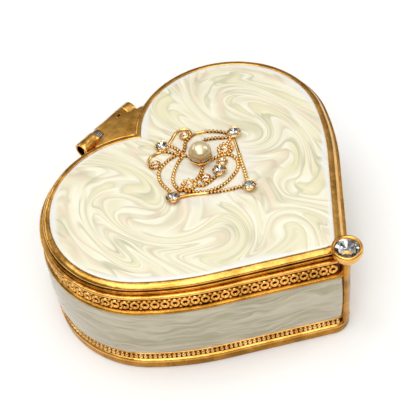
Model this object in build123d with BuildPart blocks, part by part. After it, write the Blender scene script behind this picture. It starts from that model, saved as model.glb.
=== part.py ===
from build123d import *
import os
from math import sin, cos, tan, atan2, sqrt, radians, degrees, pi, acos

os.makedirs("parts", exist_ok=True)

# ---------------------------------------------------------------------------
# Heart-shaped wind-up music box.  Millimetres, +Z up, z = 0 is the table.
# The heart's tip points to -Y, the hinge stands in the cleft at +Y, and the
# object is symmetric in X.  The origin is under the middle of the whole box.
# ---------------------------------------------------------------------------

# --- heart outline (edge of the lid's enamel field) ---
YS = 7.5                      # shift from the outline's own origin
LOBE_X, LOBE_Y, LOBE_R = 17.31, 3.33 + YS, 23.83
SIDE_R = 74.8                 # shallow arc between lobe and straight flank
JOIN_A = radians(-36.87)      # where lobe and side arc meet
FLANK_A = radians(38.27)      # slope of the straight flank from the tip
TIP_R = 1.0

# --- heights of the case ---
H_BODY = 30.0
LID_Z0, LID_STEP, LID_TOP = 30.1, 31.2, 32.3
ENAMEL_Z = 31.9
FLOOR_Z0, FLOOR_Z1 = 7.5, 8.7         # base plate
BED_Z1 = 10.3                         # top of the movement's bedplate
WIN_Z0, WIN_Z1 = 24.0, 25.2           # clear cover over the movement
WALL_IN = 1.8                         # offset of the inner wall
# outer mouldings: (z0, z1, offset from the enamel outline)
MOULD = [(0.0, 2.3, 3.9), (2.3, 3.4, 4.05), (3.4, 5.7, 3.6), (5.7, 6.1, 3.9),
         (6.1, 23.4, 3.65), (23.4, 24.5, 3.5), (24.5, 29.2, 2.8), (29.2, 30.0, 3.1)]
PANEL_Z0, PANEL_Z1, PANEL_IN, PANEL_OUT = 6.1, 23.4, 3.3, 3.65
POST_W, POST_Y0, POST_Y1, POST_Z0, POST_Z1 = 2.3, -39.38, -37.0, 3.4, 29.4

# --- hinge ---
HINGE_Y, HINGE_Z, KNUCKLE_R, PIN_R = 31.7 + YS, 29.2, 2.6, 0.9
LID_K0, LID_K1 = -4.1, 5.6            # ends of the lid's knuckle
CASE_K0, CASE_K1 = (-11.3, -5.7), (5.8, 8.8)    # left and right knuckles of the case

# --- clasp and lid ornament ---
CLASP_Y, CLASP_R = -46.1 + YS, 3.8
PEARL_R, PEARL_X, PEARL_Y, PEARL_Z = 3.0, 2.4, 0.6 + YS, 36.0

# --- movement ---
CYL_Y, CYL_Z, CYL_R, CYL_X0, CYL_X1 = 6.0, 17.0, 5.6, -7.0, 17.0
PIN_TOP = 6.1                          # radius of the pin tips
ARB_R = 1.0
BAR_X, BAR_Y, BAR_R = -18.75, 6.0, 8.8
CROWN_T, CROWN_R, PINION_T, PINION_M = 40, 8.0, 10, 0.4
GEAR_T, GEAR_M, GPIN_T = 40, 0.3, 10
GOV_Z = 20.2
GOV_Y = CYL_Y + sqrt(7.5 ** 2 - (GOV_Z - CYL_Z) ** 2)
WORM_X, WORM_PITCH, WORM_R, WHEEL_T = 21.5, 0.9, 1.3, 20
WHEEL_R = WHEEL_T * WORM_PITCH / (2 * pi)
WORM_Y = GOV_Y + WHEEL_R + WORM_R
STOP_Y = WORM_Y + 2.7
NOTES, NOTE_PITCH, NOTE_X0 = 18, 1.2, -5.2


def heart(off):
    """Heart outline grown outwards by off, as a private sketch."""
    r1, r2, rt = LOBE_R + off, SIDE_R + off, max(TIP_R + off, 0.6)
    c2x = LOBE_X - (SIDE_R - LOBE_R) * cos(JOIN_A)
    c2y = LOBE_Y - (SIDE_R - LOBE_R) * sin(JOIN_A)
    na = FLANK_A - pi / 2
    j2 = (c2x + r2 * cos(na), c2y + r2 * sin(na))
    ytip = j2[1] - j2[0] * tan(FLANK_A)
    yc = ytip + rt / cos(FLANK_A)
    t1 = (rt * cos(na), yc + rt * sin(na))
    tm = (rt * cos((na - pi / 2) / 2), yc + rt * sin((na - pi / 2) / 2))
    am = (na + JOIN_A) / 2
    j1 = (LOBE_X + r1 * cos(JOIN_A), LOBE_Y + r1 * sin(JOIN_A))
    ycl = LOBE_Y + sqrt(r1 ** 2 - LOBE_X ** 2)
    ae = atan2(ycl - LOBE_Y, -LOBE_X)
    lm = (JOIN_A + ae) / 2
    with BuildSketch(Plane.XY, mode=Mode.PRIVATE) as s:
        with BuildLine():
            ThreePointArc((0, yc - rt), tm, t1)
            Line(t1, j2)
            ThreePointArc(j2, (c2x + r2 * cos(am), c2y + r2 * sin(am)), j1)
            ThreePointArc(j1, (LOBE_X + r1 * cos(lm), LOBE_Y + r1 * sin(lm)), (0, ycl))
            mirror(about=Plane.YZ)
        make_face()
    return s.sketch_local


def flank_point(off):
    na = FLANK_A - pi / 2
    c2x = LOBE_X - (SIDE_R - LOBE_R) * cos(JOIN_A)
    c2y = LOBE_Y - (SIDE_R - LOBE_R) * sin(JOIN_A)
    return (c2x + (SIDE_R + off) * cos(na), c2y + (SIDE_R + off) * sin(na))


def lobe_point(off, deg):
    return (LOBE_X + (LOBE_R + off) * cos(radians(deg)), LOBE_Y + (LOBE_R + off) * sin(radians(deg)))


def gear_points(teeth, module, slack, phase, add=0.85, ded=1.15, pa=20.0):
    """Closed outline of a spur gear with near-involute flanks."""
    rp = teeth * module / 2
    rb = rp * cos(radians(pa))
    ra, rr = rp + add * module, rp - ded * module
    inv0 = tan(radians(pa)) - radians(pa)
    radii = [max(rr + 0.02, rb), rp, (rp + ra) / 2, ra]

    def half(r):
        a = acos(min(1.0, rb / r))
        return pi / (2 * teeth) + inv0 - (tan(a) - a) - slack / (2 * rp)
    pts = []
    for k in range(teeth):
        c = phase + 2 * pi * k / teeth
        h0 = half(radii[0])
        pts.append((rr * cos(c - h0), rr * sin(c - h0)))
        for r in radii:
            pts.append((r * cos(c - half(r)), r * sin(c - half(r))))
        for r in reversed(radii):
            pts.append((r * cos(c + half(r)), r * sin(c + half(r))))
        pts.append((rr * cos(c + h0), rr * sin(c + h0)))
    return pts


h_shell = {off: heart(off) for off in sorted({m[2] for m in MOULD})}
h_in, h_fit = heart(WALL_IN), heart(1.7)
h_ledge_lo, h_ledge_hi = heart(-1.2), heart(-0.7)
h_panel_out, h_panel_in = heart(PANEL_OUT), heart(PANEL_IN)
h_rim_lo, h_rim_hi, h_field = heart(2.4), heart(1.6), heart(0.0)
h_lip_out, h_lip_in, h_under = heart(1.4), heart(0.4), heart(-0.2)

FRONT_CUT = -34.5 + YS
SCREW_AT = [flank_point(0.3), lobe_point(0.3, 55)]
SCREW_AT = SCREW_AT + [(-x, y) for x, y in SCREW_AT]
COVER_AT = [flank_point(0.55), lobe_point(0.55, 55)]
COVER_AT = COVER_AT + [(-x, y) for x, y in COVER_AT]

# ---------------------------------------------------------------------------
# Case
# ---------------------------------------------------------------------------
with BuildPart() as side_enamel_right:
    with BuildSketch(Plane.XY.offset(PANEL_Z0)):
        add(h_panel_out)
        add(h_panel_in, mode=Mode.SUBTRACT)
        with Locations((30 + POST_W / 2 + 0.1, 0)):
            Rectangle(60, 120, mode=Mode.INTERSECT)
        with Locations((0, 60 + 17.0)):
            Rectangle(2 * 13.0, 120, mode=Mode.SUBTRACT)
    extrude(amount=PANEL_Z1 - PANEL_Z0)
side_enamel_right.part.label = "side_enamel_right"
export_step(side_enamel_right.part, "parts/side_enamel_right.step")

with BuildPart() as side_enamel_left:
    add(mirror(side_enamel_right.part, about=Plane.YZ))
side_enamel_left.part.label = "side_enamel_left"
export_step(side_enamel_left.part, "parts/side_enamel_left.step")

MAG_Y = -37.4 + YS
with BuildPart() as body_shell:
    for z0, z1, off in MOULD:
        with BuildSketch(Plane.XY.offset(z0)):
            add(h_shell[off])
        extrude(amount=z1 - z0)
    # plain post standing proud down the tip
    with Locations((0, (POST_Y0 + POST_Y1) / 2, (POST_Z0 + POST_Z1) / 2)):
        Box(POST_W, POST_Y1 - POST_Y0, POST_Z1 - POST_Z0)
    add(side_enamel_right.part, mode=Mode.SUBTRACT)
    add(side_enamel_left.part, mode=Mode.SUBTRACT)
    # key well below the lower ledge, movement room, tray above the upper ledge
    for z0, z1, face in ((0.0, 8.7, h_in), (8.7, 10.2, h_ledge_lo), (10.2, 22.6, h_in),
                         (22.6, 24.0, h_ledge_hi), (24.0, 30.0, h_in)):
        with BuildSketch(Plane.XY.offset(z0)):
            add(face)
        extrude(amount=z1 - z0, mode=Mode.SUBTRACT)
    # magnet shelf in the tip
    with BuildSketch(Plane.XY.offset(22.6)):
        add(h_shell[2.8])
        with Locations((0, FRONT_CUT - 30)):
            Rectangle(80, 60, mode=Mode.INTERSECT)
    extrude(amount=H_BODY - 22.6)
    with Locations((0, MAG_Y, H_BODY)):
        Hole(2.05, depth=1.4)
    for x, y in SCREW_AT:
        with Locations((x, y, 8.7 + 0.7)):
            Cylinder(0.8, 1.4, mode=Mode.SUBTRACT)
    for x, y in COVER_AT:
        with Locations((x, y, 23.3)):
            Cylinder(0.8, 1.4, mode=Mode.SUBTRACT)
body_shell.part.label = "body_shell"
export_step(body_shell.part, "parts/body_shell.step")

with BuildPart() as base_plate:
    with BuildSketch(Plane.XY.offset(FLOOR_Z0)):
        add(h_fit)
    extrude(amount=FLOOR_Z1 - FLOOR_Z0)
    with Locations(*[(x, y, FLOOR_Z0) for x, y in SCREW_AT]):
        Cylinder(0.95, 6, mode=Mode.SUBTRACT)
    with Locations((BAR_X, BAR_Y, FLOOR_Z0)):
        Cylinder(1.7, 6, mode=Mode.SUBTRACT)
    MOVE_AT = [(-26.0, 17.0), (24.0, -1.5), (-4.0, -15.0)]
    with Locations(*[(x, y, FLOOR_Z0) for x, y in MOVE_AT]):
        Cylinder(0.95, 6, mode=Mode.SUBTRACT)
base_plate.part.label = "base_plate"
export_step(base_plate.part, "parts/base_plate.step")

with BuildPart() as base_screws:
    for x, y in SCREW_AT:
        with Locations((x, y, FLOOR_Z0 - 0.4)):
            Cylinder(1.5, 0.8)
            Box(2.2, 0.4, 0.9, align=(Align.CENTER, Align.CENTER, Align.MAX), mode=Mode.SUBTRACT)
        with Locations((x, y, FLOOR_Z0)):
            Cylinder(0.78, 2.4, align=(Align.CENTER, Align.CENTER, Align.MIN))
base_screws.part.label = "base_screws"
export_step(base_screws.part, "parts/base_screws.step")

# ---------------------------------------------------------------------------
# Movement
# ---------------------------------------------------------------------------
with BuildPart() as movement_bedplate:
    with BuildSketch(Plane.XY.offset(FLOOR_Z1)) as bed_sk:
        with Locations((-1.0, 7.65)):
            Rectangle(55.0, 24.3)
        with Locations((5.0, -11.0)):
            Rectangle(25.0, 15.0)
        fillet(bed_sk.vertices(), 1.5)
    extrude(amount=BED_Z1 - FLOOR_Z1)
    with Locations((BAR_X, BAR_Y, FLOOR_Z1)):
        Cylinder(1.56, 6, mode=Mode.SUBTRACT)
    with Locations((BAR_X, BAR_Y, BED_Z1 - 0.6)):
        Cylinder(2.6, 1.2, mode=Mode.SUBTRACT)
    with Locations(*[(x, y, FLOOR_Z1) for x, y in MOVE_AT]):
        Cylinder(0.8, 2.8, mode=Mode.SUBTRACT)
    # shallow pivot step under the cylinder so that the pins clear the plate
    with Locations((5.0, CYL_Y, BED_Z1)):
        Box(25.4, 7.0, 0.8, mode=Mode.SUBTRACT)
movement_bedplate.part.label = "movement_bedplate"
export_step(movement_bedplate.part, "parts/movement_bedplate.step")

with BuildPart() as movement_screws:
    for x, y in MOVE_AT:
        with Locations((x, y, FLOOR_Z0 - 0.4)):
            Cylinder(1.5, 0.8)
            Box(2.2, 0.4, 0.9, align=(Align.CENTER, Align.CENTER, Align.MAX), mode=Mode.SUBTRACT)
        with Locations((x, y, FLOOR_Z0)):
            Cylinder(0.78, 2.5, align=(Align.CENTER, Align.CENTER, Align.MIN))
movement_screws.part.label = "movement_screws"
export_step(movement_screws.part, "parts/movement_screws.step")

COMB_Z0, COMB_Z1 = 16.7, 17.3
COMB_TIP = CYL_Y - PIN_TOP - 0.14
COMB_X = NOTE_X0 + NOTE_PITCH * (NOTES - 1) / 2
COMB_W = NOTE_PITCH * NOTES
COMB_SCREW_AT = [(COMB_X - 7.0, -15.0), (COMB_X, -15.0), (COMB_X + 7.0, -15.0)]
with BuildPart() as comb_base:
    with Locations((COMB_X, -15.2, BED_Z1)):
        Box(COMB_W, 5.8, COMB_Z0 - BED_Z1, align=(Align.CENTER, Align.CENTER, Align.MIN))
    fillet(comb_base.edges().filter_by(Axis.Z), 0.8)
    with Locations(*[(x, y, COMB_Z0) for x, y in COMB_SCREW_AT]):
        Cylinder(0.8, 5.0, mode=Mode.SUBTRACT)
comb_base.part.label = "comb_base"
export_step(comb_base.part, "parts/comb_base.step")

with BuildPart() as comb:
    with BuildSketch(Plane.XY.offset(COMB_Z0)):
        with Locations((COMB_X, (COMB_TIP - 18.4) / 2)):
            Rectangle(COMB_W, COMB_TIP + 18.4)
        # slots between the teeth, deeper for the low notes
        for k in range(NOTES - 1):
            x = NOTE_X0 + NOTE_PITCH * (k + 0.5)
            root = -12.0 + 0.13 * k
            with Locations((x, (COMB_TIP + root) / 2 + 0.5)):
                Rectangle(0.36, COMB_TIP - root + 1.0, mode=Mode.SUBTRACT)
        with Locations(*COMB_SCREW_AT):
            Circle(0.9, mode=Mode.SUBTRACT)
    extrude(amount=COMB_Z1 - COMB_Z0)
comb.part.label = "comb"
export_step(comb.part, "parts/comb.step")

with BuildPart() as comb_screws:
    for x, y in COMB_SCREW_AT:
        with Locations((x, y, COMB_Z1)):
            Cylinder(1.6, 1.0, align=(Align.CENTER, Align.CENTER, Align.MIN))
        with Locations((x, y, COMB_Z1 + 1.0)):
            Box(2.6, 0.4, 0.8, mode=Mode.SUBTRACT)
        with Locations((x, y, COMB_Z1)):
            Cylinder(0.78, 2.9, align=(Align.CENTER, Align.CENTER, Align.MAX))
comb_screws.part.label = "comb_screws"
export_step(comb_screws.part, "parts/comb_screws.step")

CYL_PLANE = Plane(origin=(0, CYL_Y, CYL_Z), x_dir=(0, 1, 0), z_dir=(1, 0, 0))
with BuildPart() as cylinder_sleeve:
    with BuildSketch(CYL_PLANE.offset(CYL_X0)):
        Circle(CYL_R)
        Circle(ARB_R, mode=Mode.SUBTRACT)
    extrude(amount=CYL_X1 - CYL_X0)
    with BuildSketch(CYL_PLANE.offset(CYL_X0 + 0.8)):
        Circle(CYL_R - 0.7)
        Circle(ARB_R, mode=Mode.SUBTRACT)
    extrude(amount=CYL_X1 - CYL_X0 - 1.6, mode=Mode.SUBTRACT)
cylinder_sleeve.part.label = "cylinder_sleeve"
export_step(cylinder_sleeve.part, "parts/cylinder_sleeve.step")

# melody pins: a fixed scatter of small pins on the 18 tracks
pin_solids = []
seed = 7
for k in range(NOTES):
    last = -99
    for j in range(30):
        seed = (seed * 1103515245 + 12345) % 2147483648
        if (seed >> 16) % 100 < 17 and j - last > 2:
            last = j
            a = radians(j * 12.0 + 3.0)
            x = NOTE_X0 + NOTE_PITCH * k
            pl = Plane(origin=(x, CYL_Y + CYL_R * cos(a), CYL_Z + CYL_R * sin(a)),
                       x_dir=(1, 0, 0), z_dir=(0, cos(a), sin(a)))
            pin_solids.append(pl)
with BuildPart() as cylinder_pins:
    for pl in pin_solids:
        with BuildSketch(pl):
            Circle(0.17)
        extrude(amount=PIN_TOP - CYL_R)
cylinder_pins.part.label = "cylinder_pins"
export_step(cylinder_pins.part, "parts/cylinder_pins.step")

with BuildPart() as cylinder_arbor:
    with BuildSketch(CYL_PLANE.offset(-11.9)):
        Circle(ARB_R)
    extrude(amount=11.9 + 20.0)
cylinder_arbor.part.label = "cylinder_arbor"
export_step(cylinder_arbor.part, "parts/cylinder_arbor.step")

PINION_X = BAR_X + CROWN_R
with BuildPart() as cylinder_pinion:
    with BuildSketch(CYL_PLANE.offset(PINION_X - 0.45)):
        with BuildLine():
            Polyline(*gear_points(PINION_T, PINION_M, 0.10, -pi / 2), close=True)
        make_face()
        Circle(ARB_R, mode=Mode.SUBTRACT)
    extrude(amount=0.9)
cylinder_pinion.part.label = "cylinder_pinion"
export_step(cylinder_pinion.part, "parts/cylinder_pinion.step")

GOV_A = atan2(GOV_Z - CYL_Z, GOV_Y - CYL_Y)
with BuildPart() as cylinder_gear:
    with BuildSketch(CYL_PLANE.offset(CYL_X1)):
        with BuildLine():
            Polyline(*gear_points(GEAR_T, GEAR_M, 0.06, GOV_A), close=True)
        make_face()
        Circle(ARB_R, mode=Mode.SUBTRACT)
    extrude(amount=0.8)
cylinder_gear.part.label = "cylinder_gear"
export_step(cylinder_gear.part, "parts/cylinder_gear.step")

with BuildPart() as cylinder_bracket:
    with BuildSketch(CYL_PLANE.offset(-9.6)):
        with Locations((0, (BED_Z1 + CYL_Z) / 2 - CYL_Z)):
            Rectangle(6.4, CYL_Z - BED_Z1)
        Circle(3.2)
        Circle(ARB_R + 0.05, mode=Mode.SUBTRACT)
    extrude(amount=1.2)
    with BuildSketch(Plane.XY.offset(BED_Z1)):
        with Locations((-8.6, CYL_Y + 5.6)):
            Rectangle(2.0, 4.8)
    extrude(amount=1.0)
cylinder_bracket.part.label = "cylinder_bracket"
export_step(cylinder_bracket.part, "parts/cylinder_bracket.step")

# --- mainspring barrel and winding parts ---
with BuildPart() as spring_barrel:
    with BuildSketch(Plane.XY.offset(10.6)):
        with Locations((BAR_X, BAR_Y)):
            Circle(BAR_R)
            Circle(1.56, mode=Mode.SUBTRACT)
    extrude(amount=3.1)
    with BuildSketch(Plane.XY.offset(11.2)):
        with Locations((BAR_X, BAR_Y)):
            Circle(BAR_R - 0.8)
    extrude(amount=2.5, mode=Mode.SUBTRACT)
spring_barrel.part.label = "spring_barrel"
export_step(spring_barrel.part, "parts/spring_barrel.step")

with BuildPart(mode=Mode.PRIVATE) as crown_tooth:
    w = 2 * pi * CROWN_R / CROWN_T / 4 - 0.10
    with BuildSketch(Plane(origin=(CROWN_R - 0.45, 0, 15.0), x_dir=(0, 1, 0), z_dir=(1, 0, 0))):
        with BuildLine():
            Polyline((-w - 0.22, -0.65), (-w + 0.10, 0.30), (w - 0.10, 0.30), (w + 0.22, -0.65), close=True)
        make_face()
    extrude(amount=0.9)
with BuildPart() as barrel_crown_gear:
    with BuildSketch(Plane.XY.offset(13.7)):
        with Locations((BAR_X, BAR_Y)):
            Circle(BAR_R)
            Circle(1.06, mode=Mode.SUBTRACT)
    extrude(amount=0.75)
    with Locations((BAR_X, BAR_Y, 0)):
        with PolarLocations(0, CROWN_T, start_angle=180 / CROWN_T):
            add(crown_tooth.part)
barrel_crown_gear.part.label = "barrel_crown_gear"
export_step(barrel_crown_gear.part, "parts/barrel_crown_gear.step")

SPR_D, SPR_T, SPR_N = 0.43, 0.3, 12
with BuildPart() as mainspring:
    with BuildSketch(Plane.XY.offset(11.45)):
        with BuildLine():
            inner, outer = [], []
            r, cx, side = 1.95, 0.0, 1
            x0 = cx + r
            for k in range(SPR_N):
                # semicircle about cx, from the +side to the -side
                a, b = cx + side * r, cx - side * r
                inner.append(((a, 0), (cx, side * r), (b, 0)))
                outer.append(((a + side * SPR_T, 0), (cx, side * (r + SPR_T)), (b - side * SPR_T, 0)))
                r += SPR_D
                cx = cx + side * SPR_D
                side = -side
            for p in inner:
                ThreePointArc(*[(BAR_X + q[0], BAR_Y + q[1]) for q in p])
            for p in outer:
                ThreePointArc(*[(BAR_X + q[0], BAR_Y + q[1]) for q in p])
            for p, q in ((inner[0][0], outer[0][0]), (inner[-1][2], outer[-1][2])):
                Line((BAR_X + p[0], BAR_Y), (BAR_X + q[0], BAR_Y))
        make_face()
    extrude(amount=2.0)
mainspring.part.label = "mainspring"
export_step(mainspring.part, "parts/mainspring.step")

with BuildPart() as winding_arbor:
    with BuildSketch(Plane.XY.offset(2.0)):
        with Locations((BAR_X, BAR_Y)):
            Circle(1.5)
    extrude(amount=11.5)
    with BuildSketch(Plane.XY.offset(13.5)):
        with Locations((BAR_X, BAR_Y)):
            Circle(1.0)
    extrude(amount=1.4)
winding_arbor.part.label = "winding_arbor"
export_step(winding_arbor.part, "parts/winding_arbor.step")

with BuildPart() as wrap_spring:
    for k in range(2):
        with Locations((BAR_X, BAR_Y, 9.98 - 0.3 * k + 0.1)):
            Torus(1.72, 0.14)
    with Locations((BAR_X + 2.1, BAR_Y, 9.93)):
        Box(0.9, 0.26, 0.5)
    with Locations((BAR_X, BAR_Y, 9.9)):
        Cylinder(1.57, 2.0, mode=Mode.SUBTRACT)
wrap_spring.part.label = "wrap_spring"
export_step(wrap_spring.part, "parts/wrap_spring.step")

KEY_Z0, KEY_Z1 = 1.2, 6.2
with BuildPart() as winding_key:
    with BuildSketch(Plane(origin=(BAR_X, BAR_Y + 0.7, 0), x_dir=(1, 0, 0), z_dir=(0, -1, 0))) as key_sk:
        for s in (-1, 1):
            with Locations((s * 6.6, (KEY_Z0 + KEY_Z1) / 2)):
                SlotOverall(9.4, KEY_Z1 - KEY_Z0)
                SlotOverall(5.4, 1.9, mode=Mode.SUBTRACT)
        with Locations((0, (KEY_Z0 + KEY_Z1) / 2)):
            Rectangle(5.4, 3.6)
    extrude(amount=1.4)
    with BuildSketch(Plane.XY.offset(KEY_Z0)):
        with Locations((BAR_X, BAR_Y)):
            Circle(2.6)
    extrude(amount=6.9 - KEY_Z0)
    with BuildSketch(Plane.XY.offset(2.0)):
        with Locations((BAR_X, BAR_Y)):
            Circle(1.5)
    extrude(amount=6, mode=Mode.SUBTRACT)
winding_key.part.label = "winding_key"
export_step(winding_key.part, "parts/winding_key.step")

# --- governor ---
SIDE_PL = Plane(origin=(0, 0, 0), x_dir=(0, 1, 0), z_dir=(1, 0, 0))
with BuildPart() as governor_bracket:
    for x0 in (18.4, 23.4):
        with BuildSketch(SIDE_PL.offset(x0)):
            with BuildLine():
                Polyline((CYL_Y - 3.2, BED_Z1), (GOV_Y - 0.5, BED_Z1), (GOV_Y - 0.5, 17.3),
                         (WORM_Y + 1.0, 17.3), (WORM_Y + 1.0, 23.5), (CYL_Y + 3.4, 23.5),
                         (CYL_Y - 3.2, 19.6), close=True)
            make_face()
            with Locations((CYL_Y, CYL_Z)):
                Circle(ARB_R + 0.05, mode=Mode.SUBTRACT)
            with Locations((GOV_Y, GOV_Z)):
                Circle(0.65, mode=Mode.SUBTRACT)
        extrude(amount=1.0)
    # foot with the lower pivot hole, top bar with the upper one
    with BuildSketch(Plane.XY.offset(BED_Z1)):
        with Locations((21.4, (CYL_Y - 3.2 + WORM_Y + 1.2) / 2)):
            Rectangle(6.0, WORM_Y + 1.2 - CYL_Y + 3.2)
        with Locations((WORM_X, WORM_Y)):
            Circle(0.47, mode=Mode.SUBTRACT)
    extrude(amount=1.2)
    with BuildSketch(Plane.XY.offset(22.5)):
        with Locations((21.4, WORM_Y)):
            Rectangle(6.0, 2.0)
        with Locations((WORM_X, WORM_Y)):
            Circle(0.47, mode=Mode.SUBTRACT)
    extrude(amount=1.0)
    # seat of the stop pin's spring
    with BuildSketch(Plane.XY.offset(17.5)):
        with Locations((22.35, STOP_Y - 0.05)):
            Rectangle(4.1, 2.2)
        with Locations((23.9, WORM_Y)):
            Rectangle(1.0, 4.0)
        with Locations((WORM_X, STOP_Y)):
            Circle(0.6, mode=Mode.SUBTRACT)
    extrude(amount=0.6)
governor_bracket.part.label = "governor_bracket"
export_step(governor_bracket.part, "parts/governor_bracket.step")

with BuildPart() as governor_arbor:
    with BuildSketch(Plane(origin=(16.8, GOV_Y, GOV_Z), x_dir=(0, 1, 0), z_dir=(1, 0, 0))):
        Circle(0.6)
    extrude(amount=8.0)
governor_arbor.part.label = "governor_arbor"
export_step(governor_arbor.part, "parts/governor_arbor.step")

with BuildPart() as governor_pinion:
    with BuildSketch(Plane(origin=(16.9, GOV_Y, GOV_Z), x_dir=(0, 1, 0), z_dir=(1, 0, 0))):
        with BuildLine():
            Polyline(*gear_points(GPIN_T, GEAR_M, 0.06, GOV_A + pi + pi / GPIN_T), close=True)
        make_face()
        Circle(0.6, mode=Mode.SUBTRACT)
    extrude(amount=1.0)
governor_pinion.part.label = "governor_pinion"
export_step(governor_pinion.part, "parts/governor_pinion.step")

with BuildPart() as worm_wheel:
    with BuildSketch(Plane(origin=(WORM_X - 0.35, GOV_Y, GOV_Z), x_dir=(0, 1, 0), z_dir=(1, 0, 0))):
        with BuildLine():
            Polyline(*gear_points(WHEEL_T, 2 * WHEEL_R / WHEEL_T, 0.16, 0.0, add=0.9, ded=1.35), close=True)
        make_face()
        Circle(0.6, mode=Mode.SUBTRACT)
    extrude(amount=0.7)
worm_wheel.part.label = "worm_wheel"
export_step(worm_wheel.part, "parts/worm_wheel.step")

FAN_Z0, FAN_Z1, DISC_Z1 = 12.3, 16.3, 16.8
with BuildPart() as fan_worm:
    with BuildSketch(Plane.XY.offset(10.6)):
        with Locations((WORM_X, WORM_Y)):
            Circle(0.42)
    extrude(amount=1.2)
    with BuildSketch(Plane.XY.offset(11.8)):
        with Locations((WORM_X, WORM_Y)):
            Circle(0.75)
    extrude(amount=6.4)
    with BuildSketch(Plane.XY.offset(18.2)):
        with Locations((WORM_X, WORM_Y)):
            Circle(0.9)
    extrude(amount=4.1)
    with BuildSketch(Plane.XY.offset(22.3)):
        with Locations((WORM_X, WORM_Y)):
            Circle(0.42)
    extrude(amount=1.1)
    # two-start thread; one thread crosses the wheel's side midway between teeth
    for start in (0, 1):
        z0 = GOV_Z + WORM_PITCH / 2 - 2 * WORM_PITCH
        turn = Helix(pitch=2 * WORM_PITCH, height=2.7, radius=WORM_R,
                     center=(WORM_X, WORM_Y, z0), direction=(0, 0, 1), mode=Mode.PRIVATE)
        turn = turn.rotate(Axis((WORM_X, WORM_Y, 0), (0, 0, 1)), -90 + 180 * start)
        with BuildSketch(Plane(origin=turn @ 0, x_dir=(0, 2 * start - 1, 0), z_dir=turn % 0)):
            with BuildLine():
                Polyline((-0.45, -0.16), (0.28, -0.06), (0.28, 0.06), (-0.45, 0.16), close=True)
            make_face()
        sweep(path=turn, is_frenet=True)
fan_worm.part.label = "fan_worm"
export_step(fan_worm.part, "parts/fan_worm.step")

with BuildPart() as air_fan:
    with BuildSketch(Plane.XY.offset(FAN_Z0)):
        with Locations((WORM_X, WORM_Y)):
            Circle(1.3)
            Rectangle(8.2, 0.5)
    extrude(amount=FAN_Z1 - FAN_Z0)
    with BuildSketch(Plane.XY.offset(FAN_Z1)):
        with Locations((WORM_X, WORM_Y)):
            Circle(3.4)
    extrude(amount=DISC_Z1 - FAN_Z1)
    with BuildSketch(Plane.XY.offset(FAN_Z0)):
        with Locations((WORM_X, WORM_Y)):
            Circle(0.75)
    extrude(amount=6, mode=Mode.SUBTRACT)
air_fan.part.label = "air_fan"
export_step(air_fan.part, "parts/air_fan.step")

# --- stop pin, pressed down by the closed lid ---
with BuildPart() as stop_pin:
    with BuildSketch(Plane.XY.offset(DISC_Z1 + 0.1)):
        with Locations((WORM_X, STOP_Y)):
            Circle(0.5)
    extrude(amount=30.6 - DISC_Z1 - 0.1)
    with BuildSketch(Plane.XY.offset(20.9)):
        with Locations((WORM_X, STOP_Y)):
            Circle(1.0)
    extrude(amount=0.5)
    fillet(stop_pin.faces().sort_by(Axis.Z)[-1].edges(), 0.3)
stop_pin.part.label = "stop_pin"
export_step(stop_pin.part, "parts/stop_pin.step")

with BuildPart() as stop_spring:
    coil = Helix(pitch=0.55, height=2.4, radius=0.78, center=(WORM_X, STOP_Y, 18.26),
                 direction=(0, 0, 1), mode=Mode.PRIVATE)
    with BuildSketch(Plane(origin=coil @ 0, z_dir=coil % 0)):
        Circle(0.12)
    sweep(path=coil, is_frenet=True)
stop_spring.part.label = "stop_spring"
export_step(stop_spring.part, "parts/stop_spring.step")

with BuildPart() as guide_bush:
    with BuildSketch(Plane.XY.offset(WIN_Z0)):
        with Locations((WORM_X, STOP_Y)):
            Circle(1.2)
    extrude(amount=WIN_Z1 - WIN_Z0)
    with BuildSketch(Plane.XY.offset(WIN_Z1)):
        with Locations((WORM_X, STOP_Y)):
            Circle(1.7)
    extrude(amount=0.4)
    with BuildSketch(Plane.XY.offset(WIN_Z0)):
        with Locations((WORM_X, STOP_Y)):
            Circle(0.56)
    extrude(amount=6, mode=Mode.SUBTRACT)
guide_bush.part.label = "guide_bush"
export_step(guide_bush.part, "parts/guide_bush.step")

with BuildPart() as cover_window:
    with BuildSketch(Plane.XY.offset(WIN_Z0)):
        add(h_fit)
        with Locations((0, FRONT_CUT + 0.2 - 30)):
            Rectangle(120, 60, mode=Mode.SUBTRACT)
        with Locations((WORM_X, STOP_Y)):
            Circle(1.2, mode=Mode.SUBTRACT)
        with Locations(*COVER_AT):
            Circle(0.9, mode=Mode.SUBTRACT)
    extrude(amount=WIN_Z1 - WIN_Z0)
cover_window.part.label = "cover_window"
export_step(cover_window.part, "parts/cover_window.step")

with BuildPart() as cover_screws:
    for x, y in COVER_AT:
        with Locations((x, y, WIN_Z1)):
            Cylinder(1.2, 0.6, align=(Align.CENTER, Align.CENTER, Align.MIN))
        with Locations((x, y, WIN_Z1 + 0.6)):
            Box(1.9, 0.3, 0.5, mode=Mode.SUBTRACT)
        with Locations((x, y, WIN_Z1)):
            Cylinder(0.78, 2.4, align=(Align.CENTER, Align.CENTER, Align.MAX))
cover_screws.part.label = "cover_screws"
export_step(cover_screws.part, "parts/cover_screws.step")

with BuildPart() as body_magnet:
    with Locations((0, MAG_Y, H_BODY - 0.15)):
        Cylinder(2.0, 1.2, align=(Align.CENTER, Align.CENTER, Align.MAX))
body_magnet.part.label = "body_magnet"
export_step(body_magnet.part, "parts/body_magnet.step")

# ---------------------------------------------------------------------------
# Lid
# ---------------------------------------------------------------------------
with BuildPart() as lid_enamel:
    with BuildSketch(Plane.XY.offset(ENAMEL_Z)):
        add(h_field)
    extrude(amount=LID_TOP - ENAMEL_Z)
lid_enamel.part.label = "lid_enamel"
export_step(lid_enamel.part, "parts/lid_enamel.step")

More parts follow.
